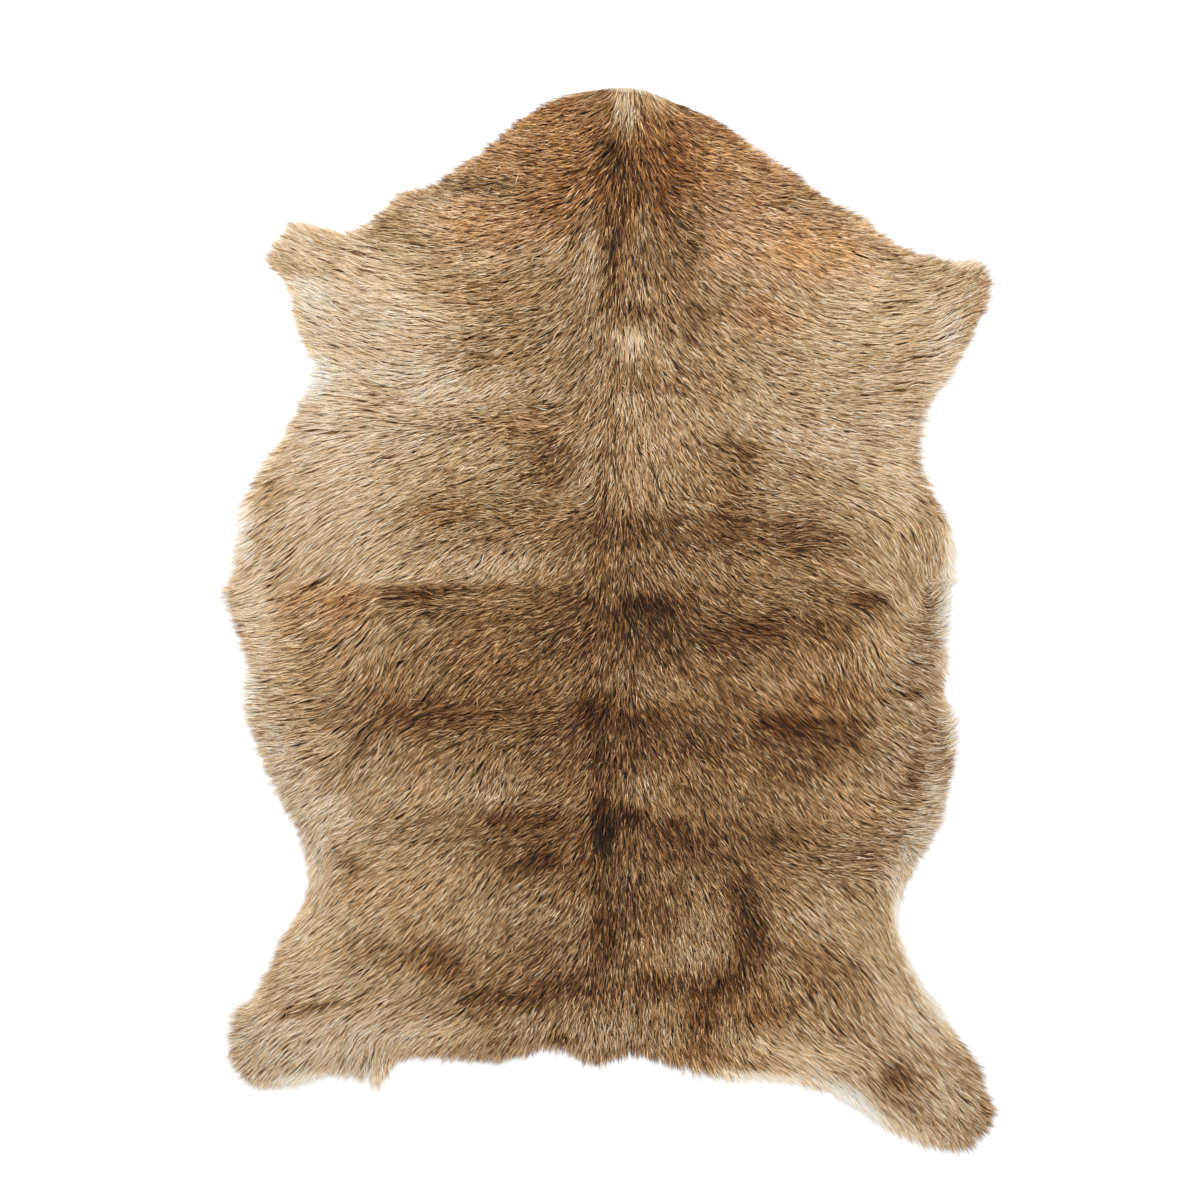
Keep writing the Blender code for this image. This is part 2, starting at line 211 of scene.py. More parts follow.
# The lie of the hair: for each height on the skin, places across it and where the hair
# points there, in degrees turned left from +X.
COMB = {
    # y: {x: lie, ...}
    442: {-30: 204, -10: 212, 12: 270, 34: 290, 52: 325},
    425: {-62: 190, -30: 196, -8: 215, 12: 270, 32: 300, 60: 330, 88: 348},
    400: {-95: 178, -75: 170, -40: 184, -12: 205, 12: 270, 34: 300, 62: 332, 92: 346, 116: 350},
    378: {-130: 185, -105: 175, -70: 176, -35: 190, -12: 230, 12: 270, 32: 300, 60: 336, 95: 345,
        135: 350},
    358: {-165: 180, -125: 180, -85: 182, -50: 192, -24: 228, 10: 270, 28: 284, 60: 335, 100: 345,
        140: 348, 172: 355},
    332: {-265: 152, -240: 157, -190: 172, -150: 168, -110: 185, -75: 195, -48: 212, -25: 240,
        10: 270, 25: 278, 42: 308, 65: 328, 95: 332, 130: 345, 170: 354, 205: 356},
    305: {-288: 160, -262: 160, -225: 165, -190: 170, -150: 176, -110: 188, -75: 198, -45: 216,
        -22: 250, 10: 270, 26: 276, 42: 298, 70: 322, 105: 328, 150: 332, 200: 342, 245: 352,
        280: 372, 308: 400},
    278: {-268: 152, -235: 158, -200: 164, -155: 176, -110: 188, -75: 198, -45: 216, -18: 250,
        10: 268, 32: 284, 60: 314, 100: 328, 150: 318, 195: 346, 240: 366, 280: 378, 308: 396},
    250: {-262: 152, -235: 156, -200: 164, -150: 172, -105: 184, -70: 196, -38: 220, -14: 250,
        10: 270, 30: 284, 55: 312, 100: 326, 150: 336, 200: 350, 245: 368, 285: 388},
    222: {-250: 158, -225: 162, -190: 168, -150: 180, -105: 198, -65: 208, -34: 226, -12: 246,
        12: 270, 32: 292, 65: 316, 110: 326, 155: 340, 205: 356, 250: 368, 288: 380},
    195: {-255: 180, -225: 173, -190: 172, -150: 204, -105: 212, -65: 216, -32: 228, -10: 248,
        12: 270, 32: 295, 65: 315, 115: 325, 160: 350, 215: 360, 265: 364},
    168: {-270: 186, -235: 182, -195: 178, -150: 184, -108: 186, -70: 168, -42: 200, -14: 240,
        8: 270, 30: 292, 62: 305, 100: 312, 135: 326, 175: 345, 215: 354, 255: 358},
    142: {-280: 204, -245: 198, -200: 198, -150: 206, -105: 211, -65: 204, -34: 226, -10: 246,
        6: 270, 28: 290, 58: 300, 90: 328, 120: 344, 155: 340, 205: 350, 250: 350},
    118: {-296: 208, -255: 202, -205: 202, -155: 203, -105: 205, -60: 204, -28: 230, 4: 268,
        28: 288, 58: 304, 100: 315, 150: 336, 200: 338, 250: 336},
    94: {-306: 216, -268: 211, -222: 208, -172: 203, -132: 190, -98: 176, -60: 170, -30: 190,
        0: 262, 26: 290, 60: 325, 110: 350, 150: 354, 190: 332, 230: 330, 264: 322},
    68: {-310: 215, -255: 221, -205: 215, -155: 206, -105: 200, -55: 206, -20: 228, 2: 268, 28: 296,
        68: 318, 110: 342, 150: 368, 180: 352, 205: 318, 232: 308, 258: 286, 280: 276},
    44: {-310: 215, -262: 222, -222: 224, -182: 214, -148: 226, -104: 234, -60: 234, -26: 242,
        0: 268, 34: 302, 78: 315, 122: 324, 168: 326, 205: 324, 226: 310, 244: 298, 260: 272,
        278: 270},
    20: {-318: 206, -288: 206, -258: 205, -218: 203, -182: 178, -150: 170, -118: 180, -80: 186,
        -40: 194, -4: 262, 30: 292, 60: 308, 92: 312, 130: 342, 168: 332, 200: 348, 222: 332,
        240: 302, 254: 280, 266: 412, 280: 418},
    -6: {-312: 172, -288: 192, -258: 202, -222: 214, -200: 236, -178: 222, -145: 214, -100: 208,
        -55: 200, -22: 218, -4: 268, 38: 298, 88: 348, 128: 354, 160: 322, 198: 312, 230: 308,
        248: 338, 264: 366, 282: 400},
    -34: {-302: 176, -270: 190, -240: 210, -214: 236, -195: 254, -168: 232, -130: 216, -90: 224,
        -50: 224, -20: 236, -6: 268, 40: 296, 88: 314, 130: 314, 170: 300, 200: 286, 216: 290,
        240: 324, 258: 350, 278: 296},
    -60: {-306: 178, -270: 186, -238: 196, -208: 230, -178: 244, -148: 238, -108: 228, -60: 225,
        -24: 236, -6: 268, 46: 308, 100: 310, 150: 310, 190: 296, 212: 300, 240: 330, 260: 338,
        280: 292},
    -82: {-306: 178, -262: 186, -230: 206, -200: 220, -170: 200, -138: 188, -92: 176, -50: 186,
        -20: 226, -8: 268, 40: 300, 88: 312, 130: 326, 170: 326, 210: 312, 240: 320, 268: 330,
        286: 410},
    -106: {-296: 182, -254: 195, -222: 216, -190: 238, -150: 216, -102: 234, -52: 226, -24: 236,
        -8: 268, 48: 302, 100: 304, 150: 316, 190: 322, 230: 328, 260: 342, 284: 396},
    -132: {-282: 204, -250: 216, -220: 234, -198: 226, -160: 225, -122: 228, -98: 258, -62: 226,
        -28: 234, -8: 268, 40: 292, 100: 302, 150: 302, 190: 308, 230: 316, 256: 345, 276: 384},
    -158: {-270: 212, -248: 216, -210: 222, -170: 220, -130: 225, -100: 236, -60: 202, -28: 226,
        -10: 268, 48: 298, 100: 302, 150: 308, 190: 312, 226: 334, 252: 356, 270: 370},
    -182: {-254: 234, -222: 206, -180: 200, -148: 210, -110: 204, -60: 196, -30: 222, -10: 268,
        50: 298, 104: 308, 150: 320, 190: 344, 230: 358, 258: 360},
    -206: {-250: 250, -226: 216, -190: 205, -150: 218, -110: 230, -62: 226, -30: 232, -10: 268,
        48: 292, 98: 306, 148: 338, 188: 348, 212: 366, 232: 322, 246: 292},
    -232: {-248: 248, -222: 216, -182: 216, -142: 225, -102: 234, -62: 226, -30: 236, -10: 268,
        48: 286, 92: 296, 120: 312, 160: 320, 200: 316, 224: 308, 238: 274},
    -258: {-258: 228, -235: 216, -196: 217, -156: 226, -115: 232, -70: 226, -32: 236, -10: 268,
        48: 286, 90: 288, 116: 300, 150: 314, 190: 318, 220: 310, 236: 278},
    -286: {-278: 214, -240: 212, -200: 216, -160: 234, -120: 224, -70: 218, -32: 236, -12: 268,
        48: 284, 98: 272, 118: 296, 150: 314, 188: 318, 224: 310, 246: 298},
    -312: {-296: 212, -262: 202, -222: 208, -178: 214, -128: 219, -80: 218, -34: 236, -12: 268,
        50: 282, 98: 280, 130: 288, 170: 297, 204: 298, 238: 308, 264: 305},
    -340: {-314: 196, -288: 214, -250: 214, -200: 213, -152: 204, -100: 226, -62: 240, -30: 254,
        -12: 270, 22: 272, 60: 276, 90: 278, 126: 302, 164: 312, 204: 304, 242: 312, 280: 316},
    -366: {-316: 216, -290: 224, -250: 226, -220: 238, -196: 260, -168: 218, -130: 228, -90: 238,
        -56: 248, -20: 264, 14: 270, 48: 290, 90: 302, 140: 330, 190: 342, 222: 322, 256: 310,
        292: 322},
    -392: {-300: 230, -195: 266, 150: 325, 176: 328, 204: 318, 236: 314, 268: 312, 302: 326},
    -418: {214: 316, 242: 312, 276: 308, 312: 326},
    -440: {256: 308, 284: 302, 304: 306},
}

# Broad tones, painted in this order as soft-edged patches over the ground tone.
# light is the tone from 0, black, to 1, white. warm goes from -1, grey, to 1, ginger.
# cover is how far the patch hides what is under it.
# Most patches named for creases darken the folds: painted shade there, over the darker parted hair.
GROUND_LIGHT = 0.52
GROUND_WARM = 0.1
PATCHES = (
    # place, x, y, half across, half down, turn, light, warm, cover
    ("saddle", 5, -40, 190, 125, 0, 0.43, 0.35, 0.9),
    ("loins", 15, -220, 150, 120, 0, 0.43, 0.25, 0.9),
    ("neck", 0, 385, 120, 60, 0, 0.50, 0.95, 0.9),
    ("neck middle", 15, 355, 60, 75, 0, 0.40, 0.75, 0.85),
    ("neck middle dark", 32, 342, 16, 44, 0, 0.36, 0.5, 0.8),
    ("chest", 0, 170, 120, 90, 0, 0.52, 0.1, 0.8),
    ("left flank", -232, 175, 90, 160, -6, 0.67, -0.15, 0.92),
    ("left shoulder", -225, 275, 75, 45, 0, 0.69, -0.1, 0.8),
    ("right flank", 210, 205, 98, 115, 8, 0.63, 0.0, 0.88),
    ("right rib", 175, 150, 62, 52, 0, 0.58, -0.35, 0.8),
    ("right flank low", 240, 80, 50, 60, 0, 0.58, 0.0, 0.7),
    ("left belly", -262, -80, 48, 120, 12, 0.60, 0.0, 0.8),
    ("right belly", 258, -90, 45, 110, -5, 0.53, -0.5, 0.75),
    ("right belly rim", 266, -10, 20, 90, 0, 0.57, -0.8, 0.55),
    ("left thigh", -225, -245, 88, 75, 0, 0.61, 0.05, 0.8),
    ("left groin", -245, -190, 20, 50, 10, 0.63, -0.6, 0.5),
    ("left corner", -255, -345, 88, 52, 0, 0.65, -0.3, 0.88),
    ("right thigh", 235, -260, 60, 80, 25, 0.54, 0.0, 0.7),
    ("right groin", 243, -205, 20, 56, -10, 0.62, -0.8, 0.6),
    ("right corner", 262, -375, 65, 75, 35, 0.57, -0.55, 0.8),
    ("left shoulder cream", -252, 278, 16, 30, 20, 0.77, -0.1, 0.8),
    ("left foreleg", -266, 316, 22, 16, 0, 0.68, 0.1, 0.8),
    ("left foreleg streak", -258, 292, 34, 9, -8, 0.58, 0.1, 0.8),
    ("left shoulder brown", -185, 328, 26, 12, -15, 0.51, 0.2, 0.85),
    ("neck left", -80, 398, 62, 34, 30, 0.53, 0.85, 0.85),
    ("neck right", 95, 385, 70, 38, -30, 0.54, 0.75, 0.85),
    ("shoulder left tan", -137, 336, 38, 21, 0, 0.63, 0.35, 0.85),
    ("shoulder edge left", -184, 346, 26, 8, 22, 0.60, 0.2, 0.7),
    ("shoulder left ginger", -95, 322, 42, 24, 0, 0.56, 0.75, 0.8),
    ("shoulder left brown", -105, 270, 45, 18, 5, 0.52, 0.4, 0.75),
    ("shoulder left pale", -162, 255, 38, 30, 0, 0.68, 0.1, 0.8),
    ("shoulder left dim", -228, 248, 18, 14, 0, 0.64, 0.0, 0.7),
    ("shoulder left middle dim", -207, 272, 18, 14, 0, 0.64, 0.0, 0.65),
    ("rib left high", -180, 206, 36, 14, 0, 0.71, -0.1, 0.75),
    ("elbow left white", -256, 203, 20, 17, 0, 0.92, -0.4, 0.92),
    ("shoulder left gold", -112, 300, 26, 11, 0, 0.63, 0.4, 0.8),
    ("shoulder left low dusk", -150, 278, 14, 18, 0, 0.57, 0.3, 0.7),
    ("neck streak", -115, 362, 46, 7, 3, 0.46, -0.6, 0.65),
    ("neck dark right", 42, 374, 32, 44, 0, 0.38, 1.0, 0.85),
    ("neck dark left", -45, 370, 30, 30, 0, 0.48, 0.7, 0.7),
    ("spine dark top", 2, 384, 10, 22, 24, 0.33, -0.2, 0.9),
    ("spine pale top", 12, 428, 11, 22, 0, 0.63, -0.8, 0.82),
    ("neck top right", 42, 431, 15, 9, 0, 0.57, 0.3, 0.7),
    ("neck edge white", 26, 446, 24, 7, -12, 0.80, -0.8, 0.9),
    ("neck edge left", -72, 424, 42, 11, 26, 0.42, 1.0, 0.75),
    ("neck left shade", -40, 430, 18, 11, 10, 0.44, 0.9, 0.75),
    ("neck edge right", 84, 420, 46, 11, -32, 0.42, 1.0, 0.75),
    ("neck edge right pale", 136, 382, 26, 10, -32, 0.60, 0.5, 0.75),
    ("shoulder edge right", 172, 356, 60, 9, -30, 0.50, 0.7, 0.7),
    ("shoulder edge right pale", 232, 322, 34, 9, -20, 0.68, 0.3, 0.8),
    ("shoulder right dark", 60, 310, 20, 46, 5, 0.42, 0.0, 0.85),
    ("shoulder right pale", 94, 312, 14, 30, 8, 0.57, 0.4, 0.75),
    ("shoulder right tan", 165, 310, 66, 28, -8, 0.59, 0.9, 0.85),
    ("shoulder right ginger", 130, 250, 32, 22, 0, 0.53, 0.7, 0.7),
    ("shoulder right dim", 146, 216, 18, 14, 0, 0.52, 0.0, 0.75),
    ("foreleg right", 240, 260, 64, 28, 0, 0.65, 0.15, 0.85),
    ("foreleg right pale", 280, 236, 15, 36, -25, 0.72, -0.05, 0.8),
    ("foreleg right edge", 306, 262, 9, 34, -22, 0.58, 0.4, 0.8),
    ("foreleg right tip", 298, 300, 18, 9, 0, 0.74, 0.0, 0.8),
    ("spine dark upper", 0, 306, 8, 42, -8, 0.35, 0.0, 0.88),
    ("spine grey left", -21, 298, 13, 34, 0, 0.58, -0.8, 0.85),
    ("spine left high", -54, 302, 24, 15, 0, 0.58, 0.0, 0.6),
    ("spine grey right", 27, 306, 12, 50, 0, 0.49, -0.35, 0.85),
    ("spine right low", 23, 269, 11, 10, 0, 0.56, -0.1, 0.75),
    # crease patches: their dark is painted shade in the fold, over darker parted hair
    ("shoulder right crease", 72, 257, 26, 9, 0, 0.42, 0.0, 0.7),
    ("back right crease", 84, 196, 60, 13, 0, 0.45, 0.15, 0.75),
    ("spine dark back", 6, 256, 28, 13, 0, 0.40, 0.1, 0.8),
    ("spine pale middle", 16, 232, 12, 14, 0, 0.66, -0.15, 0.85),
    ("back right dark", 60, 240, 24, 10, -10, 0.47, 0.05, 0.7),
    ("back left grey", -20, 225, 18, 36, 0, 0.50, -0.2, 0.7),
    ("back left glow high", -66, 196, 28, 13, 0, 0.58, 0.0, 0.6),
    ("rib left pale", -134, 190, 50, 19, 4, 0.70, -0.3, 0.82),
    ("rib left pale low", -158, 150, 32, 16, 0, 0.64, -0.1, 0.7),
    ("rib left streak", -128, 160, 28, 5, 0, 0.49, -0.2, 0.75),
    ("rib left ginger", -62, 157, 34, 16, 0, 0.53, 0.9, 0.8),
    ("rib left dark", -52, 132, 24, 20, 10, 0.41, 0.1, 0.82),
    ("rib left tan", -120, 134, 40, 18, 5, 0.61, 0.1, 0.75),
    ("rib left dim", -197, 182, 20, 16, 0, 0.60, 0.0, 0.75),
    ("back left dusk", -106, 203, 20, 12, 0, 0.55, 0.2, 0.7),
    ("flank left spot", -284, 105, 17, 11, 30, 0.56, 0.6, 0.85),
    ("flank left high", -238, 157, 16, 12, 0, 0.70, -0.2, 0.6),
    ("spine dark rib", 2, 140, 8, 16, 0, 0.42, 0.1, 0.8),
    ("spine pale rib", -22, 115, 9, 28, 0, 0.55, -0.1, 0.7),
    ("spine pale chest", 11, 178, 9, 13, 0, 0.62, 0.0, 0.8),
    ("back left gold", -22, 157, 14, 14, 0, 0.56, 0.1, 0.7),
    ("back right gold", 25, 152, 32, 20, 0, 0.55, 0.0, 0.7),
    ("rib right", 138, 188, 58, 24, -5, 0.60, 0.0, 0.75),
    ("rib right dark", 104, 140, 28, 13, -8, 0.41, 0.1, 0.85),
    ("rib right gold", 88, 160, 32, 12, 0, 0.57, 0.1, 0.65),
    ("spine gold", 14, 121, 13, 10, 0, 0.57, 0.1, 0.8),
    ("rib right small", 66, 110, 14, 13, 0, 0.45, 0.1, 0.7),
    ("rib right brown", 102, 104, 18, 32, 0, 0.41, 0.3, 0.8),
    ("flank right brown", 152, 120, 34, 18, -10, 0.53, 0.0, 0.7),
    ("flank right tan", 182, 152, 34, 22, 0, 0.63, -0.2, 0.8),
    ("elbow right", 236, 166, 24, 14, 0, 0.66, 0.0, 0.7),
    ("elbow right white", 277, 160, 13, 34, 0, 0.93, -0.7, 0.95),
    ("elbow right dim", 202, 172, 18, 15, 0, 0.58, 0.0, 0.7),
    ("flank right pale", 240, 124, 30, 34, -12, 0.67, 0.05, 0.8),
    # crease patches: their dark is painted shade in the fold, over darker parted hair
    ("upper crease left", -146, 86, 38, 13, 3, 0.46, 0.3, 0.8),
    ("spine dark waist", -11, 78, 13, 20, 0, 0.37, 0.1, 0.85),
    ("upper crease right", 32, 72, 42, 18, 0, 0.39, -0.1, 0.85),
    ("upper crease rib", 92, 72, 26, 20, 0, 0.40, 0.25, 0.85),
    ("upper crease flank", 162, 68, 44, 22, -4, 0.42, 0.1, 0.8),
    ("flank right glow", 188, 92, 26, 20, 0, 0.59, -0.1, 0.55),
    ("flank left", -240, 72, 56, 34, 0, 0.64, -0.05, 0.6),
    ("middle pale band", -98, 48, 58, 11, 0, 0.59, -0.15, 0.85),
    # crease patches: their dark is painted shade in the fold, over darker parted hair
    ("middle crease ginger", -244, 18, 46, 13, 4, 0.53, 0.8, 0.85),
    ("middle crease left", -152, 16, 28, 11, -4, 0.39, 0.45, 0.88),
    ("middle crease back", -100, 15, 48, 10, 0, 0.55, 0.2, 0.8),
    ("flank left middle dusk", -216, 8, 20, 16, 0, 0.46, 0.5, 0.6),
    ("middle spine", -12, 10, 34, 26, 0, 0.40, 0.1, 0.8),
    ("back right middle", 60, 40, 54, 16, 0, 0.47, 0.05, 0.75),
    ("back right glow", 124, 26, 30, 10, 0, 0.51, 0.05, 0.7),
    ("back middle rise", 12, 36, 16, 10, 0, 0.47, 0.1, 0.6),
    ("flank right small", 168, 36, 20, 10, 0, 0.45, 0.1, 0.7),
    # crease patches: their dark is painted shade in the fold, over darker parted hair
    ("middle crease dark", 31, 7, 31, 14, 0, 0.25, 0.1, 0.92),
    ("middle crease fade", 30, -14, 34, 14, 0, 0.34, 0.1, 0.8),
    ("middle crease flank", 214, 14, 22, 9, -12, 0.33, 0.2, 0.9),
    ("middle crease right", 168, -8, 56, 14, 4, 0.40, 0.35, 0.8),
    ("middle crease rib", 114, -12, 26, 10, 0, 0.32, 0.8, 0.85),
    ("belly right ginger", 262, 80, 12, 14, 0, 0.56, 0.35, 0.8),
    ("flank right rise", 246, 10, 15, 14, 0, 0.60, -0.1, 0.6),
    ("whorl grey", 264, 0, 33, 6, 62, 0.37, -0.9, 0.92),
    ("belly right rim", 286, 50, 9, 46, 2, 0.76, -0.8, 0.85),
    ("belly right rim low", 278, -8, 11, 44, 0, 0.82, -0.9, 0.92),
    ("belly right grey", 262, -28, 20, 32, 0, 0.55, -0.7, 0.8),
    ("flank right gold", 224, -20, 20, 22, 0, 0.58, 0.3, 0.8),
    ("flank left low", -256, -14, 40, 32, 0, 0.53, 0.45, 0.75),
    ("flank left brown", -174, -50, 46, 16, 0, 0.47, 0.15, 0.7),
    ("back left low", -48, -16, 38, 16, 0, 0.40, 0.1, 0.8),
    ("back left glow", -92, -20, 22, 16, 0, 0.51, 0.5, 0.6),
    ("back left rise", -36, -56, 32, 12, 0, 0.50, 0.1, 0.7),
    ("back right rise", 16, -50, 24, 11, 0, 0.47, -0.3, 0.65),
    ("back right low", 60, -18, 58, 18, 0, 0.38, -0.15, 0.8),
    # crease patches: their dark is painted shade in the fold, over darker parted hair
    ("lower crease edge", -236, -76, 30, 16, 0, 0.49, 0.1, 0.72),
    ("flank left dusk", -250, -50, 20, 10, 0, 0.47, 0.2, 0.7),
    ("lower crease left", -160, -80, 58, 17, 0, 0.37, 0.35, 0.88),
    ("lower crease back", -88, -74, 32, 14, 0, 0.41, 0.5, 0.8),
    ("lower back", -44, -104, 40, 26, 0, 0.40, -0.1, 0.7),
    ("lower spine", -14, -78, 17, 17, 0, 0.26, 0.7, 0.9),
    ("lower back right", 14, -112, 24, 22, 0, 0.38, 0.1, 0.7),
    ("lower crease right", 25, -87, 26, 12, 0, 0.32, 0.3, 0.88),
    ("loin right", 50, -60, 28, 11, 0, 0.47, -0.1, 0.8),
    ("flank right spot", 140, -62, 18, 10, 0, 0.62, 0.05, 0.85),
    ("flank right dusk", 126, -97, 16, 12, 0, 0.39, 0.1, 0.7),
    # crease patches: their dark is painted shade in the fold, over darker parted hair
    ("lower crease flank", 150, -91, 31, 11, 0, 0.27, 1.0, 0.92),
    ("lower crease fade", 168, -108, 46, 17, -4, 0.39, 0.3, 0.75),
    ("lower crease belly", 204, -96, 34, 15, 0, 0.37, 0.3, 0.8),
    ("flank right shade", 176, -66, 54, 12, 3, 0.39, 0.7, 0.78),
    ("loin right dark", 64, -104, 30, 16, 0, 0.36, 0.0, 0.78),
    ("spine loin", -10, -116, 9, 22, 0, 0.30, -0.2, 0.85),
    ("flank right low", 152, -124, 27, 15, 0, 0.37, 0.15, 0.8),
    ("pleat left", -213, -111, 9, 16, -30, 0.41, -0.3, 0.85),
    ("belly left rim", -300, 4, 22, 66, 8, 0.69, 0.0, 0.85),
    ("belly left rim low", -282, -120, 18, 56, 22, 0.67, -0.6, 0.85),
    ("belly left pale", -238, -162, 24, 30, 25, 0.66, -0.2, 0.8),
    ("belly left wisps", -315, 76, 12, 28, 0, 0.86, -0.3, 0.85),
    ("belly left wisps low", -306, -62, 8, 22, 0, 0.85, -0.3, 0.8),
    ("loin left", -120, -142, 36, 20, 0, 0.56, -0.3, 0.7),
    ("flank left low dusk", -224, -134, 20, 12, 0, 0.53, 0.0, 0.75),
    ("loin left pale", -175, -146, 46, 18, 0, 0.59, 0.3, 0.8),
    # crease patches: their dark is painted shade in the fold, over darker parted hair
    ("loin crease left", -80, -172, 32, 14, 0, 0.42, 0.45, 0.82),
    ("loin spine", -8, -178, 11, 32, 0, 0.21, 0.3, 0.9),
    ("loin crease spine", 10, -166, 18, 9, 0, 0.30, 0.6, 0.88),
    ("loin crease right", 70, -187, 31, 17, -8, 0.35, 0.1, 0.85),
    ("croup left dark", -56, -204, 19, 10, 0, 0.34, 0.4, 0.8),
    ("loin right pale", 30, -140, 24, 12, 0, 0.48, 0.05, 0.7),
    ("loin right low", 72, -143, 20, 17, 0, 0.42, -0.2, 0.7),
    ("flank right crease", 130, -184, 40, 15, -6, 0.40, 0.15, 0.8),
    ("groin right", 236, -92, 22, 24, 0, 0.54, -0.05, 0.7),
    ("groin right curl", 256, -132, 17, 18, 0, 0.42, -0.3, 0.8),
    ("groin right pale", 270, -152, 12, 34, 10, 0.68, -0.8, 0.82),
    ("belly right wisps", 290, -88, 11, 30, 0, 0.87, -0.6, 0.88),
    ("flank right fade", 204, -154, 34, 24, 0, 0.53, 0.4, 0.75),
    ("groin right crease", 212, -200, 28, 9, 0, 0.46, 0.05, 0.78),
    ("groin right rim", 254, -190, 13, 38, -32, 0.66, -0.9, 0.88),
    ("thigh left tan", -175, -224, 52, 24, 8, 0.60, 0.5, 0.75),
    ("groin left edge", -248, -205, 10, 30, 0, 0.66, -0.8, 0.8),
    ("groin left brown", -217, -204, 14, 11, 0, 0.46, 0.1, 0.8),
    ("spine croup", -7, -258, 13, 38, 0, 0.33, 0.1, 0.88),
    ("croup spine", -3, -218, 18, 17, 0, 0.42, -0.3, 0.75),
    ("croup left pale", -40, -252, 22, 24, -30, 0.50, 0.0, 0.75),
    ("croup left", -98, -248, 42, 24, 0, 0.57, 0.1, 0.75),
    ("rump left dark", -148, -286, 26, 16, -25, 0.37, 0.5, 0.88),
    ("thigh left brown", -192, -279, 38, 14, 0, 0.48, 0.3, 0.75),
    ("thigh left dim", -216, -316, 24, 10, 0, 0.54, 0.1, 0.7),
    ("thigh left edge", -256, -268, 28, 34, 0, 0.66, 0.3, 0.75),
    ("croup right pale", 66, -282, 36, 18, 10, 0.53, 0.0, 0.8),
    ("croup right rise", 76, -258, 18, 24, 0, 0.53, -0.3, 0.7),
    ("rump right dark", 46, -308, 34, 12, 0, 0.35, 0.2, 0.8),
    ("croup right", 20, -242, 20, 22, 0, 0.40, 0.05, 0.8),
    # crease patches: their dark is painted shade in the fold, over darker parted hair
    ("thigh crease upper", 112, -234, 14, 34, 12, 0.32, -0.1, 0.86),
    ("thigh crease", 118, -272, 17, 22, -10, 0.31, 0.1, 0.88),
    ("thigh crease low", 96, -306, 24, 12, 25, 0.31, 0.1, 0.88),
    ("rump right ginger", 75, -340, 15, 32, 0, 0.36, 0.5, 0.85),
    ("rump right shade", 120, -326, 28, 18, 0, 0.40, 0.5, 0.78),
    ("thigh right tan", 190, -232, 44, 20, -15, 0.53, 0.15, 0.75),
    ("thigh right brown", 184, -302, 36, 22, -30, 0.46, 0.25, 0.85),
    ("thigh right gold", 184, -256, 44, 18, -8, 0.59, 0.1, 0.75),
    ("thigh right stripe", 232, -302, 14, 46, 25, 0.61, 0.0, 0.85),
    ("hind leg right pale", 256, -340, 16, 36, 36, 0.66, -0.1, 0.85),
    ("thigh right cream", 248, -268, 9, 42, 16, 0.88, -0.8, 0.95),
    ("thigh right cream low", 269, -320, 6, 28, 30, 0.82, -0.8, 0.88),
    ("rump right gold", 158, -368, 56, 16, -8, 0.67, 0.4, 0.88),
    ("rump edge ginger", 108, -376, 46, 9, -6, 0.56, 0.6, 0.85),
    ("rump edge wisps", 130, -387, 54, 7, -4, 0.82, 0.0, 0.8),
    ("buttock white", 206, -409, 40, 11, -35, 0.83, -0.8, 0.9),
    ("hock right", 241, -385, 17, 12, -20, 0.36, 0.1, 0.88),
    ("shank right", 252, -412, 22, 10, -30, 0.49, -0.2, 0.7),
    ("hind leg right", 282, -406, 22, 28, 35, 0.62, -0.6, 0.75),
    ("hind leg right dim", 266, -372, 16, 10, 0, 0.54, -0.3, 0.65),
    ("hind leg right tip", 315, -412, 9, 14, 0, 0.50, 0.7, 0.85),
    ("hind leg right low", 252, -432, 30, 12, -20, 0.66, -0.2, 0.8),
    ("tail right", 16, -347, 40, 16, 0, 0.53, -0.3, 0.8),
    ("tail left", -66, -346, 38, 13, 0, 0.56, 0.0, 0.8),
    ("tail notch", -45, -352, 11, 8, 0, 0.38, 0.3, 0.8),
    ("tail", -10, -356, 18, 12, 0, 0.60, -0.2, 0.75),
    ("tail edge", 40, -367, 60, 8, 0, 0.46, 0.8, 0.65),
    # crease patches: their dark is painted shade in the fold, over darker parted hair
    ("rump crease left", -88, -316, 38, 11, 0, 0.36, 0.15, 0.88),
    ("rump crease spine", -28, -308, 32, 12, 0, 0.36, 0.05, 0.85),
    ("rump left ginger", -108, -338, 22, 17, 0, 0.42, 0.45, 0.82),
    ("rump left tan", -150, -348, 56, 13, 5, 0.66, 0.2, 0.85),
    ("hind leg left tan", -216, -352, 46, 14, 5, 0.65, -0.2, 0.85),
    ("hind leg left crease", -258, -326, 36, 6, 8, 0.45, 0.05, 0.85),
    ("hind leg left grey", -300, -356, 28, 28, 0, 0.64, -0.8, 0.85),
    ("hind leg left corner", -302, -322, 18, 26, 20, 0.64, 0.0, 0.8),
    ("hind leg left tuft", -208, -374, 28, 12, 0, 0.65, -0.7, 0.8),
    ("hind leg left low", -280, -386, 28, 9, 0, 0.61, -0.5, 0.75),
    ("hind leg left wisps", -240, -390, 54, 9, 0, 0.82, -0.3, 0.85),
)

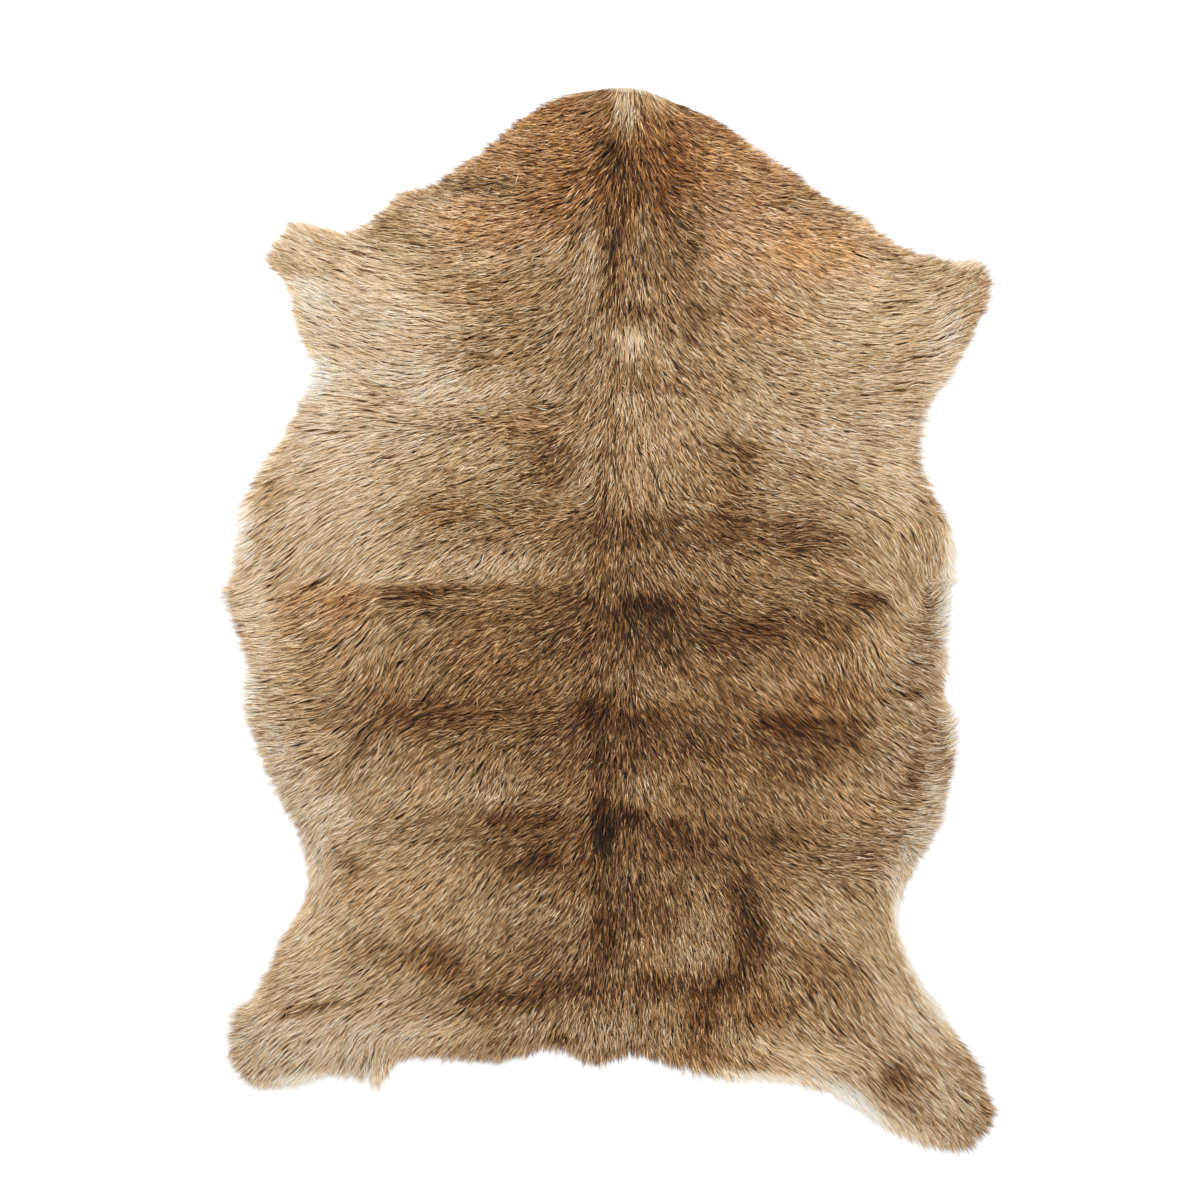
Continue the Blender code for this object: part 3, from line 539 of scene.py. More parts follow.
# Folds across the skin, drawn only in tone as painted shade and painted light: painted shade just under
# the line, fading downwards, and a painted highlight just over it, fading upwards, as on a low ridge lit
# from the neck end.
FOLD_EDGE = 3.0
PAINTED_FOLD_SHADING = (
    # place, left x, left y, right x, right y, sag, painted shade, its fade, painted light, its rise
    ("middle left", -225, 27, -28, 27, 2, 0.06, 16, 0.09, 16),
    ("middle right", 4, 24, 246, 24, 3, 0.03, 16, 0.02, 16),
    ("loin left", -118, -158, -8, -158, -3, 0.07, 26, 0.05, 16),
    ("loin right", -8, -158, 70, -166, -3, 0.07, 26, 0.05, 16),
    ("saddle right", 112, -77, 214, -80, -2, 0.03, 16, 0.04, 12),
    ("chest crease right", 0, 92, 190, 80, 2, 0.02, 22, 0.03, 14),
)

# Where the hair is longer (over 1) or shorter (under 1) than over the back
LENGTHS = (
    # place, x, y, half across, half down, factor
    ("flanks left", -240, 70, 95, 250, 1.6),
    ("flanks right", 235, 90, 80, 230, 1.5),
    ("hind leg right", 235, -330, 100, 110, 1.5),
    ("hind leg left", -250, -310, 100, 95, 1.45),
    ("shoulders", 0, 300, 190, 80, 1.15),
    ("shoulder left", -205, 270, 80, 60, 1.5),
    ("shoulder right", 225, 262, 80, 60, 1.4),
    ("flank right wisps", 262, 152, 20, 34, 2.0),
    ("elbow left wisps", -252, 200, 22, 20, 1.9),
    ("flank left", -314, 30, 22, 90, 1.75),
    ("rump tuft left", -200, -376, 18, 14, 1.7),
    ("rump right", 90, -376, 44, 14, 1.4),
    ("belly right tuft", 284, -88, 14, 16, 1.6),
    ("foreleg left", -284, 308, 26, 30, 1.15),
    ("neck top", 16, 442, 40, 12, 1.35),
    ("thigh right edge", 246, -262, 14, 70, 0.9),
    ("whorl", 268, 0, 24, 50, 1.1),
)

# Hair colour by tone, from dark to pale, as linear red, green, blue
TONE_STOPS = (
    # tone, red, green, blue
    (0.00, 0.006, 0.002, 0.001),
    (0.22, 0.045, 0.016, 0.004),
    (0.36, 0.170, 0.071, 0.018),
    (0.50, 0.404, 0.219, 0.087),
    (0.64, 0.675, 0.448, 0.230),
    (0.78, 0.890, 0.718, 0.480),
    (1.00, 0.960, 0.920, 0.840),
)

# Tint of each warmth, from grey to ginger
TINTS = (
    # red, green, blue
    (0.95, 1.00, 1.10),
    (0.98, 1.00, 1.04),
    (1.00, 1.00, 1.00),
    (1.09, 0.97, 0.86),
    (1.20, 0.93, 0.70),
)

# Brightness along a hair, from root to tip: a plain one, a dark-tipped one, and one at the
# rim, whose root shows. The dark root of the first two is painted shade deep in the coat, partly the
# hair's own darker base.
HAIR_KINDS = 3
ALONG_PLAIN = ((0.0, 0.30), (0.35, 0.80), (1.0, 1.12))
ALONG_DARK = ((0.0, 0.30), (0.35, 0.75), (0.65, 0.58), (1.0, 0.32))
ALONG_RIM = ((0.0, 0.85), (0.5, 1.0), (1.0, 1.12))
DARK_TIPPED_SHARE = 0.32
PALE_DARK_TIPPED_SHARE = 0.12
RIM_DEPTH = 9.0

UV_ROW_MARGIN = 0.08
UV_HALF_WIDTH = 0.004


def degrees_vector(angles):
    """Unit vectors at the given angles in degrees."""
    radians = np.radians(angles)
    return np.stack((np.cos(radians), np.sin(radians)), axis=-1)


def left_of(vectors):
    """The vectors turned a quarter turn to the left."""
    return np.stack((-vectors[..., 1], vectors[..., 0]), axis=-1)


def unit(vectors):
    """The vectors at length 1."""
    return vectors / np.maximum(np.linalg.norm(vectors, axis=-1, keepdims=True), TINY)


def turned(vectors, degrees):
    """The vectors, each turned left by its own number of degrees."""
    cosine = np.cos(np.radians(degrees))
    sine = np.sin(np.radians(degrees))
    return np.column_stack((
        vectors[:, 0] * cosine - vectors[:, 1] * sine,
        vectors[:, 0] * sine + vectors[:, 1] * cosine,
    ))


def between(first, second, share):
    """The value the given share of the way from the first to the second."""
    return first + (second - first) * share


def sides_of(loop):
    """Start and end of each side of a closed loop."""
    return zip(loop, np.roll(loop, -1, axis=0))


def rim_distance(places, loop):
    """Distance from each place to the nearest side of the loop."""
    nearest = np.full(len(places), np.inf)
    for start, end in sides_of(loop):
        run = end - start
        share = np.clip((places - start) @ run / max(run @ run, TINY), 0.0, 1.0)
        away = np.linalg.norm(places - start - share[:, None] * run, axis=1)
        nearest = np.minimum(nearest, away)
    return nearest


def is_inside(places, loop):
    """Whether each place is inside the loop, by counting the sides crossed to its right."""
    inside = np.zeros(len(places), bool)
    for start, end in sides_of(loop):
        spans = (start[1] > places[:, 1]) != (end[1] > places[:, 1])
        rise = end[1] - start[1] if end[1] != start[1] else 1.0
        crossing = start[0] + (places[:, 1] - start[1]) * (end[0] - start[0]) / rise
        inside ^= spans & (places[:, 0] < crossing)
    return inside


def signed_area(loop):
    """Area inside the loop, under zero if the loop runs clockwise."""
    following = np.roll(loop, -1, axis=0)
    return (loop[:, 0] * following[:, 1] - loop[:, 1] * following[:, 0]).sum() / 2.0


def smoothed(loop, rounds):
    """The loop with its corners worn off."""
    for _ in range(rounds):
        loop = loop * 0.5 + (np.roll(loop, 1, axis=0) + np.roll(loop, -1, axis=0)) * 0.25
    return loop


def cad_rim(mesh):
    """The rim of the CAD solid's flat underside, as a loop of places."""
    sides = set()
    for face in mesh.polygons:
        if face.normal.z < UNDERSIDE_TURN and face.center.z < UNDERSIDE_LEVEL:
            corners = [mesh.vertices[index].co for index in face.vertices]
            keys = [(round(corner.x, MATCH_DIGITS), round(corner.y, MATCH_DIGITS)) for corner in corners]
            sides.update(zip(keys, keys[1:] + keys[:1]))
    following = {start: end for start, end in sides if (end, start) not in sides}
    first = min(following)
    loop = [first]
    while following[loop[-1]] != first:
        loop.append(following[loop[-1]])
    return np.array(loop) / MM


class Grid:
    """A square grid over the skin. Fields on it are read between its points by mixing."""

    def __init__(self):
        self.x, self.y = (np.arange(-half, half + GRID_STEP / 2.0, GRID_STEP) for half in GRID_HALF)
        across, down = np.meshgrid(self.x, self.y)
        self.shape = across.shape
        self.places = np.column_stack((across.ravel(), down.ravel()))
        self.table_places = self.places - TABLE_ZERO

    def read(self, field, places):
        """The field's values at the places."""
        column = np.clip((places[:, 0] - self.x[0]) / GRID_STEP, 0, self.shape[1] - GRID_LAST)
        row = np.clip((places[:, 1] - self.y[0]) / GRID_STEP, 0, self.shape[0] - GRID_LAST)
        left = column.astype(int)
        low = row.astype(int)
        across = column - left
        up = row - low
        index = low * self.shape[1] + left
        if field.ndim == 2:
            across = across[:, None]
            up = up[:, None]
        lower = field[index] * (1 - across) + field[index + 1] * across
        index = index + self.shape[1]
        upper = field[index] * (1 - across) + field[index + 1] * across
        return lower * (1 - up) + upper * up

    def slope(self, field):
        """How the field rises across and up, at each grid point."""
        rise_y, rise_x = np.gradient(field.reshape(self.shape), GRID_STEP)
        return np.column_stack((rise_x.ravel(), rise_y.ravel()))

    def lumps(self, layers):
        """The sum of layers of smooth noise, each from about minus to plus its strength."""
        total = 0.0
        for strength, size, layer in layers:
            values = [noise.noise(Vector((x / size, y / size, layer))) for x, y in self.places]
            total = total + strength * np.array(values)
        return total


def surface_field(grid, mesh):
    """Height of the CAD solid's top at each grid point."""
    tree = BVHTree.FromPolygons(
        [vertex.co for vertex in mesh.vertices], [tuple(face.vertices) for face in mesh.polygons]
    )
    down = Vector((0.0, 0.0, -1.0))
    heights = []
    for x, y in grid.places:
        hit = tree.ray_cast(Vector((x * MM, y * MM, 1.0)), down)[0]
        heights.append(hit.z / MM if hit else 0.0)
    return np.array(heights)


def comb_field(grid):
    """The lie of the hair at each grid point, mixed from the comb table by nearness."""
    guides = np.array([(x, y) for y, row in COMB.items() for x in row], float)
    lie = degrees_vector([angle for row in COMB.values() for angle in row.values()])
    mixed = np.zeros((len(grid.places), 2))
    for guide, direction in zip(guides, lie):
        away = ((grid.table_places - guide) ** 2).sum(axis=1)
        mixed += direction / ((away + COMB_SOFTNESS ** 2) ** COMB_POWER)[:, None]
    return unit(mixed)


def patch_share(grid, x, y, half_across, half_down, turn):
    """How strongly a soft-edged patch covers each grid point, from 0 to 1."""
    across = degrees_vector(turn)
    offset = grid.table_places - (x, y)
    along = offset @ across / half_across
    beside = offset @ left_of(across) / half_down
    return np.exp(-((along ** 2 + beside ** 2) ** PATCH_HARDNESS))


def paint_patches(grid):
    """Light and warmth at each grid point, painted from the patches."""
    light = np.full(len(grid.places), GROUND_LIGHT)
    warm = np.full(len(grid.places), GROUND_WARM)
    for _, x, y, half_across, half_down, turn, patch_light, patch_warm, cover in PATCHES:
        share = cover * patch_share(grid, x, y, half_across, half_down, turn)
        light = between(light, patch_light, share)
        warm = between(warm, patch_warm, share)
    return light, warm


def painted_fold_shading(grid):
    """Painted shade and painted light that the folds add to the tone at each grid point."""
    light = np.zeros(len(grid.places))
    for _, left_x, left_y, right_x, right_y, sag, dark, fade, pale, rise in PAINTED_FOLD_SHADING:
        start = np.array((left_x, left_y), float)
        run = np.array((right_x, right_y), float) - start
        width = np.linalg.norm(run)
        offset = grid.table_places - start
        share = offset @ run / width ** 2
        over = offset @ left_of(run) / width - sag * 4.0 * share * (1.0 - share)
        ends = np.sqrt(np.clip(np.sin(math.pi * np.clip(share, 0.0, 1.0)), 0.0, 1.0))
        above = np.clip(over / FOLD_EDGE * 0.5 + 0.5, 0.0, 1.0)
        # painted light over the fold line, then painted shade under it
        light += ends * above * pale * np.exp(-np.maximum(over, 0.0) / rise)
        light -= ends * (1.0 - above) * dark * np.exp(np.minimum(over, 0.0) / fade)
    return light


def length_field(grid):
    """Length of the hair at each grid point, as a factor."""
    factor = np.ones(len(grid.places))
    for _, x, y, half_across, half_down, longer in LENGTHS:
        factor = between(factor, longer, patch_share(grid, x, y, half_across, half_down, 0.0))
    return factor


class Coat:
    """The fields that the skin, the underfur and the hair are made from."""

    def __init__(self, mesh, rng):
        self.rng = rng
        self.grid = Grid()
        self.rim = smoothed(cad_rim(mesh), RIM_SMOOTHING)
        away = rim_distance(self.grid.places, self.rim)
        self.inside = np.where(is_inside(self.grid.places, self.rim), away, -away)
        self.surface = surface_field(self.grid, mesh)
        self.light, self.warm = paint_patches(self.grid)
        # the folds add their painted shade and painted light to the tone here
        self.light = 0.5 + (self.light + painted_fold_shading(self.grid) - 0.5) * TONE_CONTRAST + TONE_SHIFT
        self.light += self.grid.lumps(LIGHT_NOISE)
        self.warm += self.grid.lumps(WARM_NOISE)
        self.length = length_field(self.grid)
        self.swirl = self.grid.lumps(SWIRL_NOISE)
        self.tuft = self.grid.lumps(TUFT_NOISE)
        outward = -unit(self.grid.slope(self.inside))
        splay = RIM_SPLAY * np.exp(-np.maximum(self.inside, 0.0) / RIM_SPLAY_DEPTH)
        self.lie = unit(comb_field(self.grid) + outward * splay[:, None])
        facing = np.clip((outward * self.lie).sum(axis=1), 0.0, 1.0)
        self.skin_inset = RIM_INSET + RIM_REACH * facing ** 2 * self.length

    def read(self, field, places):
        """A field's values at the places."""
        return self.grid.read(field, places)

    def inward(self, places):
        """Unit vectors from the places away from the rim."""
        return unit(self.read(self.grid.slope(self.inside), places))

    def rimward(self, places):
        """How near the places are to the rim: 1 at the skin's edge, fading to 0 inwards."""
        return np.exp(-np.maximum(self.read(self.inside, places) - RIM_INSET, 0.0) / RIM_FADE)


def hair_roots(coat):
    """A root in each small square of the skin, thinned to the hair count, less so at the rim."""
    x, y = (np.arange(-half, half, ROOT_PITCH) for half in GRID_HALF)
    across, down = np.meshgrid(x, y)
    roots = np.column_stack((across.ravel(), down.ravel()))
    roots = roots + coat.rng.uniform(0.0, ROOT_PITCH, roots.shape)
    roots = roots[coat.read(coat.inside, roots) > coat.read(coat.skin_inset, roots)]
    order = np.argsort(coat.rng.uniform(0.0, 1.0, len(roots)) - RIM_CROWDING * coat.rimward(roots))
    return roots[order[:HAIR_COUNT]]


def lock_seeds(coat):
    """A seed for each lock on a loose grid, with the lie there and the lock's own character."""
    columns, rows = (int(2 * half / LOCK_PITCH) + 1 for half in GRID_HALF)
    across, down = np.meshgrid(np.arange(columns), np.arange(rows))
    corner = np.column_stack((across.ravel(), down.ravel())) * LOCK_PITCH - GRID_HALF
    places = corner + coat.rng.uniform(*LOCK_PLACES, corner.shape) * LOCK_PITCH
    count = len(places)
    length = coat.read(coat.length, places)
    dropped = coat.rng.uniform(0.0, 1.0, count) > length ** LOCK_THINNING
    return {
        "columns": columns,
        "rows": rows,
        "place": places,
        "lie": unit(coat.read(coat.lie, places)),
        "stretch": LOCK_STRETCH * np.sqrt(length),
        "dropped": dropped,
        "turn": coat.rng.normal(0.0, LOCK_TURN, count),
        "lift": coat.rng.normal(0.0, LOCK_LIFT, count),
        "light": coat.rng.normal(0.0, LOCK_LIGHT, count),
        "length": coat.rng.uniform(*LOCK_LENGTHS, count),
        "gather": coat.rng.uniform(*LOCK_GATHERS, count),
    }


def lock_of(seeds, roots):
    """For each root the lock it belongs to and how far it is beside the lock's middle."""
    cell = ((roots + GRID_HALF) / LOCK_PITCH).astype(int)
    best = np.full(len(roots), np.inf)
    chosen = np.zeros(len(roots), int)
    beside_chosen = np.zeros(len(roots))
    steps = range(-LOCK_SEARCH, LOCK_SEARCH + 1)
    for step_x, step_y in [(step_x, step_y) for step_x in steps for step_y in steps]:
        column = np.clip(cell[:, 0] + step_x, 0, seeds["columns"] - 1)
        row = np.clip(cell[:, 1] + step_y, 0, seeds["rows"] - 1)
        index = row * seeds["columns"] + column
        offset = roots - seeds["place"][index]
        lie = seeds["lie"][index]
        along = (offset * lie).sum(axis=1)
        beside = (offset * left_of(lie)).sum(axis=1)
        measure = along ** 2 + (beside * seeds["stretch"][index]) ** 2
        measure = np.where(seeds["dropped"][index], FAR, measure)
        nearer = measure < best
        best = np.where(nearer, measure, best)
        chosen = np.where(nearer, index, chosen)
        beside_chosen = np.where(nearer, beside, beside_chosen)
    return chosen, beside_chosen


def hair_run(coat, roots, lock, beside, rimward):
    """Middle and tip of each hair seen from above, and the direction to its left."""
    rng = coat.rng
    count = len(roots)
    frizz = np.where(rng.uniform(0.0, 1.0, count) < FRIZZ_SHARE, FRIZZ, STRAY)
    long = coat.read(coat.length, roots)
    turn = lock["turn"] * (1.0 - rimward) + rng.normal(0.0, 1.0, count) * frizz
    turn = turn / np.maximum(long, CALM_FROM) ** CALMING + coat.read(coat.swirl, roots)
    shortest, longest = STRAND_LENGTHS
    length = HAIR_LENGTH * long * lock["length"] ** (1.0 - rimward)
    length = length * rng.uniform(shortest - RIM_SHORTENING * rimward, longest, count)
    length = length * (1.0 + rimward * coat.read(coat.tuft, roots))
    first = turned(unit(coat.read(coat.lie, roots)), turn)
    middles = roots + first * (length * MID_SHARE)[:, None]
    second = turned(unit(coat.read(coat.lie, middles)), turn + rng.normal(0.0, BEND, count))
    side = left_of(second)
    gather = side * (GATHER * lock["gather"] * (1.0 - rimward) * beside)[:, None]
    tips = middles + second * (length * (1.0 - MID_SHARE))[:, None] - gather
    return middles - gather * MID_GATHER, tips, side


def hair_heights(coat, roots, middles, tips, crown):
    """Height of each hair's root, middle and tip."""
    rng = coat.rng
    count = len(roots)
    root = np.maximum(coat.read(coat.surface, roots) - ROOT_DEPTH, SKIN_THICKNESS)
    middle = coat.read(coat.surface, middles) - MID_DEPTH + crown + rng.normal(0.0, MID_SPREAD, count)
    tip = coat.read(coat.surface, tips) - TIP_DEPTH + crown + rng.normal(0.0, TIP_SPREAD, count)
    middle = np.maximum(middle, root + MID_RISE)
    tip = np.maximum(tip, TIP_LEAST + rng.uniform(0.0, TIP_LEAST_SPREAD, count))
    return root, middle, tip


def hair_colours(coat, roots, tips, lock, edge, rimward):
    """Tone of each hair, and its row in the chart of kinds and tints."""
    rng = coat.rng
    count = len(roots)
    halfway = roots * 0.5 + tips * 0.5
    light = coat.read(coat.light, halfway)
    pale = np.clip((light - PALE_FROM) / PALE_SPAN, 0.0, 1.0)
    own_light = rng.normal(0.0, STRAND_LIGHT, count)
    light = light + (lock["light"] + own_light) * (1.0 - PALE_CALM * pale)
    # painted shade at the edges of each lock and painted light along its middle
    edge_shade = between(LOCK_EDGE_SHADE, PALE_LOCK_SHADE, pale) * (1.0 - RIM_SHADE_LOSS * rimward)
    light = light + edge_shade * (LOCK_SHADE_MIDDLE - edge) + RIM_LIGHT * rimward
    warm = coat.read(coat.warm, halfway) + RIM_WARM * rimward + STRAND_GOLD * own_light
    last_tint = len(TINTS) - 1
    tint = np.rint((warm + 1.0) / 2.0 * last_tint + rng.uniform(-0.5, 0.5, count))
    dark_share = between(DARK_TIPPED_SHARE, PALE_DARK_TIPPED_SHARE, pale) * (1.0 - rimward)
    kind = np.where(rng.uniform(0.0, 1.0, count) < dark_share, 1, 0)
    kind = np.where(coat.read(coat.inside, roots) < RIM_DEPTH, 2, kind)
    return np.clip(light, *TONE_LIMITS), np.clip(tint, 0, last_tint) + len(TINTS) * kind


def grow_hair(coat):
    """All hairs: root, middle and tip, side vector, width, tone and chart row of each."""
    roots = hair_roots(coat)
    count = len(roots)
    seeds = lock_seeds(coat)
    index, beside = lock_of(seeds, roots)
    lock = {trait: seeds[trait][index] for trait in LOCK_TRAITS}
    rimward = coat.rimward(roots)
    middles, tips, side = hair_run(coat, roots, lock, beside, rimward)
    edge = np.clip((beside / LOCK_HALF) ** 2, 0.0, LOCK_EDGE_LIMIT)
    crown = lock["lift"] - LOCK_CROWN * edge
    root_height, mid_height, tip_height = hair_heights(coat, roots, middles, tips, crown)
    roll = np.radians(coat.rng.uniform(-HAIR_ROLL, HAIR_ROLL, count))
    tone, row = hair_colours(coat, roots, tips, lock, edge, rimward)
    width = HAIR_WIDTH * between(1.0, RIM_WIDTH, rimward) * coat.rng.uniform(*STRAND_WIDTHS, count)
    return {
        "root": np.column_stack((roots, root_height)),
        "middle": np.column_stack((middles, mid_height)),
        "tip": np.column_stack((tips, tip_height)),
        "side": np.column_stack((side * np.cos(roll)[:, None], np.sin(roll))),
        "width": width,
        "tone": tone,
        "row": row,
    }


def add_chart(mesh, spots):
    """The mesh's UV map, from a spot for each corner of its faces."""
    uv_layer = mesh.uv_layers.new(name=UV_MAP)
    uv_layer.data.foreach_set("uv", spots.astype(np.float32).ravel())


def hair_mesh(name, hair, chosen):
    """One mesh of the chosen hairs, each a tapered blade of one quad and one triangle."""
    root = hair["root"][chosen]
    middle = hair["middle"][chosen]
    half = (hair["side"] * hair["width"][:, None] / 2.0)[chosen]
    count = len(root)
    root_half = half * ROOT_WIDTH
    corners = np.stack(
        (root - root_half, root + root_half, middle + half, middle - half, hair["tip"][chosen]), axis=1
    )
    numbers = np.arange(count)[:, None]
    loops = numbers * HAIR_CORNERS + HAIR_LOOPS
    starts = numbers * len(HAIR_LOOPS) + HAIR_STARTS

    mesh = bpy.data.meshes.new(name)
    mesh.vertices.add(corners.size // 3)
    mesh.vertices.foreach_set("co", (corners * MM).astype(np.float32).ravel())
    mesh.loops.add(loops.size)
    mesh.loops.foreach_set("vertex_index", loops.astype(np.int32).ravel())
    mesh.polygons.add(starts.size)
    mesh.polygons.foreach_set("loop_start", starts.astype(np.int32).ravel())

    tone = hair["tone"][chosen]
    low = tone - UV_HALF_WIDTH
    high = tone + UV_HALF_WIDTH
    across = np.column_stack((low, high, high, low, tone))
    along = between(UV_ROW_MARGIN, 1.0 - UV_ROW_MARGIN, np.array((0.0, 0.0, MID_SHARE, MID_SHARE, 1.0)))
    up = (hair["row"][chosen][:, None] + along) / (HAIR_KINDS * len(TINTS))
    add_chart(mesh, np.stack((across, up), axis=2)[:, HAIR_LOOPS])
    mesh.update(calc_edges=True)
    mesh.validate()
    mesh.polygons.foreach_set("use_smooth", np.ones(starts.size, bool))
    return mesh


def skin_rim(coat):
    """The edge of the skin under the hair: the CAD rim, smoothed and drawn inwards."""
    loop = smoothed(coat.rim, SKIN_SMOOTHING)
    for _ in range(PULLS):
        short = coat.read(coat.skin_inset, loop) - coat.read(coat.inside, loop)
        pull = np.clip(short, -PULL_LIMIT, PULL_LIMIT)[:, None] * PULL_SHARE
        loop = smoothed(loop + coat.inward(loop) * pull, PULL_SMOOTHING)
    return loop


def filled(loop, inner):
    """Triangles that fill the loop through the inner places, counter-clockwise from above."""
    count = len(loop)
    sides = [(index, (index + 1) % count) for index in range(count)]
    places = [Vector(place) for place in np.vstack((loop, inner))]
    made = delaunay_2d_cdt(places, sides, [], FILL_INSIDE, FILL_GAP)
    triangles = []
    for triangle in made[2]:
        a, b, c = (made[0][index] for index in triangle)
        turn = (b - a).cross(c - a)
        triangles.append(tuple(triangle) if turn > 0.0 else tuple(reversed(triangle)))
    return triangles


def inner_places(loop, pitch, margin):
    """Staggered places inside the loop, clear of it, and the distance of each from it."""
    rows = []
    for row_index, y in enumerate(np.arange(-GRID_HALF[1], GRID_HALF[1], pitch * ROW_SHARE)):
        x = np.arange(-GRID_HALF[0] + (row_index % 2) * pitch / 2.0, GRID_HALF[0], pitch)
        rows.append(np.column_stack((x, np.full(len(x), y))))
    places = np.vstack(rows)
    places = places[is_inside(places, loop)]
    nearest = rim_distance(places, loop)
    keep = nearest > margin
    return places[keep], nearest[keep]


def slab(name, loop, inner, low, high_rim, high_inner):
    """A closed mesh between a flat underside at low and a top of the given heights."""
    places = np.vstack((loop, inner))
    count = len(loop)
    total = len(places)
    triangles = filled(loop, inner)
    top = np.column_stack((places, np.concatenate((np.full(count, high_rim), high_inner))))
    under = np.column_stack((places, np.full(total, low)))
    corners = np.vstack((top, under))
    faces = triangles + [tuple(total + index for index in reversed(triangle)) for triangle in triangles]
    clockwise = signed_area(loop) < 0.0
    for index in range(count):
        following = (index + 1) % count
        wall = (following, total + following, total + index, index)
        faces.append(wall if clockwise else tuple(reversed(wall)))
    mesh = bpy.data.meshes.new(name)
    mesh.from_pydata((corners * MM).tolist(), [], faces)
    spots = corners[[loop_corner.vertex_index for loop_corner in mesh.loops], :2]
    add_chart(mesh, spots / (2.0 * np.array(GRID_HALF)) + 0.5)
    mesh.shade_smooth()
    mesh.set_sharp_from_angle(angle=math.radians(SHARP_ANGLE))
    return mesh


class Nodes:
    """Short calls for building a material's node tree."""

    def __init__(self, name):
        self.material = bpy.data.materials.new(name)
        self.material.use_nodes = True
        self.tree = self.material.node_tree
        self.shader = self.tree.nodes["Principled BSDF"]

    def add(self, kind, **settings):
        """A new node with the given settings."""
        node = self.tree.nodes.new(kind)
        for key, value in settings.items():
            setattr(node, key, value)
        return node

    def feed(self, socket, value):
        """Puts a number, a colour or an output into an input."""
        if isinstance(value, (int, float)):
            socket.default_value = value
        elif isinstance(value, tuple):
            socket.default_value = (*value, 1.0)
        else:
            self.tree.links.new(value, socket)

    def feed_all(self, node, values):
        """Puts a value into each of the node's named inputs."""
        for name, value in values.items():
            self.feed(node.inputs[name], value)

    def math(self, operation, first, second=0.0):
        """The result of a sum on one or two values."""
        node = self.add("ShaderNodeMath", operation=operation)
        self.feed(node.inputs[0], first)
        self.feed(node.inputs[1], second)
        return node.outputs[0]

    def ramp(self, factor, stops, interpolation="LINEAR"):
        """A colour ramp over (place, colour) stops."""
        node = self.add("ShaderNodeValToRGB")
        ramp = node.color_ramp
        ramp.interpolation = interpolation
        while len(ramp.elements) < len(stops):
            ramp.elements.new(1.0)
        for element, (place, colour) in zip(ramp.elements, stops):
            element.position = place
            element.color = (*colour, 1.0)
        self.feed(node.inputs["Fac"], factor)
        return node.outputs["Color"]

    def blend(self, kind, factor, first, second):
        """Two colours mixed in the given way."""
        node = self.add("ShaderNodeMix", data_type="RGBA", blend_type=kind)
        for index, value in ((0, factor), (6, first), (7, second)):
            self.feed(node.inputs[index], value)
        return node.outputs[2]

    def noise(self, scale, detail, roughness):
        """Soft noise over the object's own coordinates."""
        node = self.add("ShaderNodeTexNoise")
        place = self.add("ShaderNodeTexCoord").outputs["Object"]
        self.feed_all(node, {"Vector": place, "Scale": scale, "Detail": detail, "Roughness": roughness})
        return node.outputs[0]

    def bump(self, height, strength, distance):
        """Small bumps of the given height over the surface."""
        node = self.add("ShaderNodeBump")
        self.feed_all(node, {"Height": height, "Strength": strength, "Distance": distance})
        return node.outputs[0]


def grey_stops(stops):
    """Ramp stops of plain brightness."""
    return [(place, (value, value, value)) for place, value in stops]


def hair_material():
    """Hair: tone from the chart's u, tint and brightness along the hair from its v, whose dark root is
    partly painted shade.
    """
    nodes = Nodes("hair")
    chart = nodes.add("ShaderNodeUVMap", uv_map=UV_MAP)
    parts = nodes.add("ShaderNodeSeparateXYZ")
    nodes.feed(parts.inputs[0], chart.outputs["UV"])
    rows = HAIR_KINDS * len(TINTS)
    scaled = nodes.math("MULTIPLY", parts.outputs[1], float(rows))
    row = nodes.math("FLOOR", scaled)
    along = nodes.math("SUBTRACT", nodes.math("FRACT", scaled), UV_ROW_MARGIN)
    along = nodes.math("DIVIDE", along, 1.0 - 2.0 * UV_ROW_MARGIN)
    tone = nodes.ramp(parts.outputs[0], [(stop[0], stop[1:]) for stop in TONE_STOPS])
    tint_stops = [(index / rows, TINTS[index % len(TINTS)]) for index in range(rows)]
    tint_place = nodes.math("DIVIDE", nodes.math("ADD", row, 0.5), float(rows))
    # brightness along the hair: its dark root is painted shade, partly the hair's darker base
    brightness = nodes.ramp(along, grey_stops(ALONG_PLAIN))
    for kind, stops in ((1, ALONG_DARK), (2, ALONG_RIM)):
        is_kind = nodes.math("GREATER_THAN", parts.outputs[1], kind / HAIR_KINDS)
        brightness = nodes.blend("MIX", is_kind, brightness, nodes.ramp(along, grey_stops(stops)))
    colour = nodes.blend("MULTIPLY", 1.0, tone, nodes.ramp(tint_place, tint_stops, "CONSTANT"))
    colour = nodes.blend("MULTIPLY", 1.0, colour, brightness)
    nodes.feed_all(nodes.shader, {
        "Base Color": colour,
        "Roughness": HAIR_ROUGHNESS,
        "Specular IOR Level": HAIR_SPECULAR,
    })
    return nodes.material


def napped_material(name, broad, broad_stops, fine, fine_stops, bump, roughness):
    """A matt surface with broad clouding under a fine nap, which is its bump as well."""
    nodes = Nodes(name)
    nap = nodes.noise(*fine)
    clouding = nodes.ramp(nodes.noise(*broad), broad_stops)
    colour = nodes.blend("MULTIPLY", 1.0, clouding, nodes.ramp(nap, fine_stops))
    bumps = nodes.bump(nap, *bump)
    nodes.feed_all(nodes.shader, {"Base Color": colour, "Roughness": roughness, "Normal": bumps})
    return nodes.material


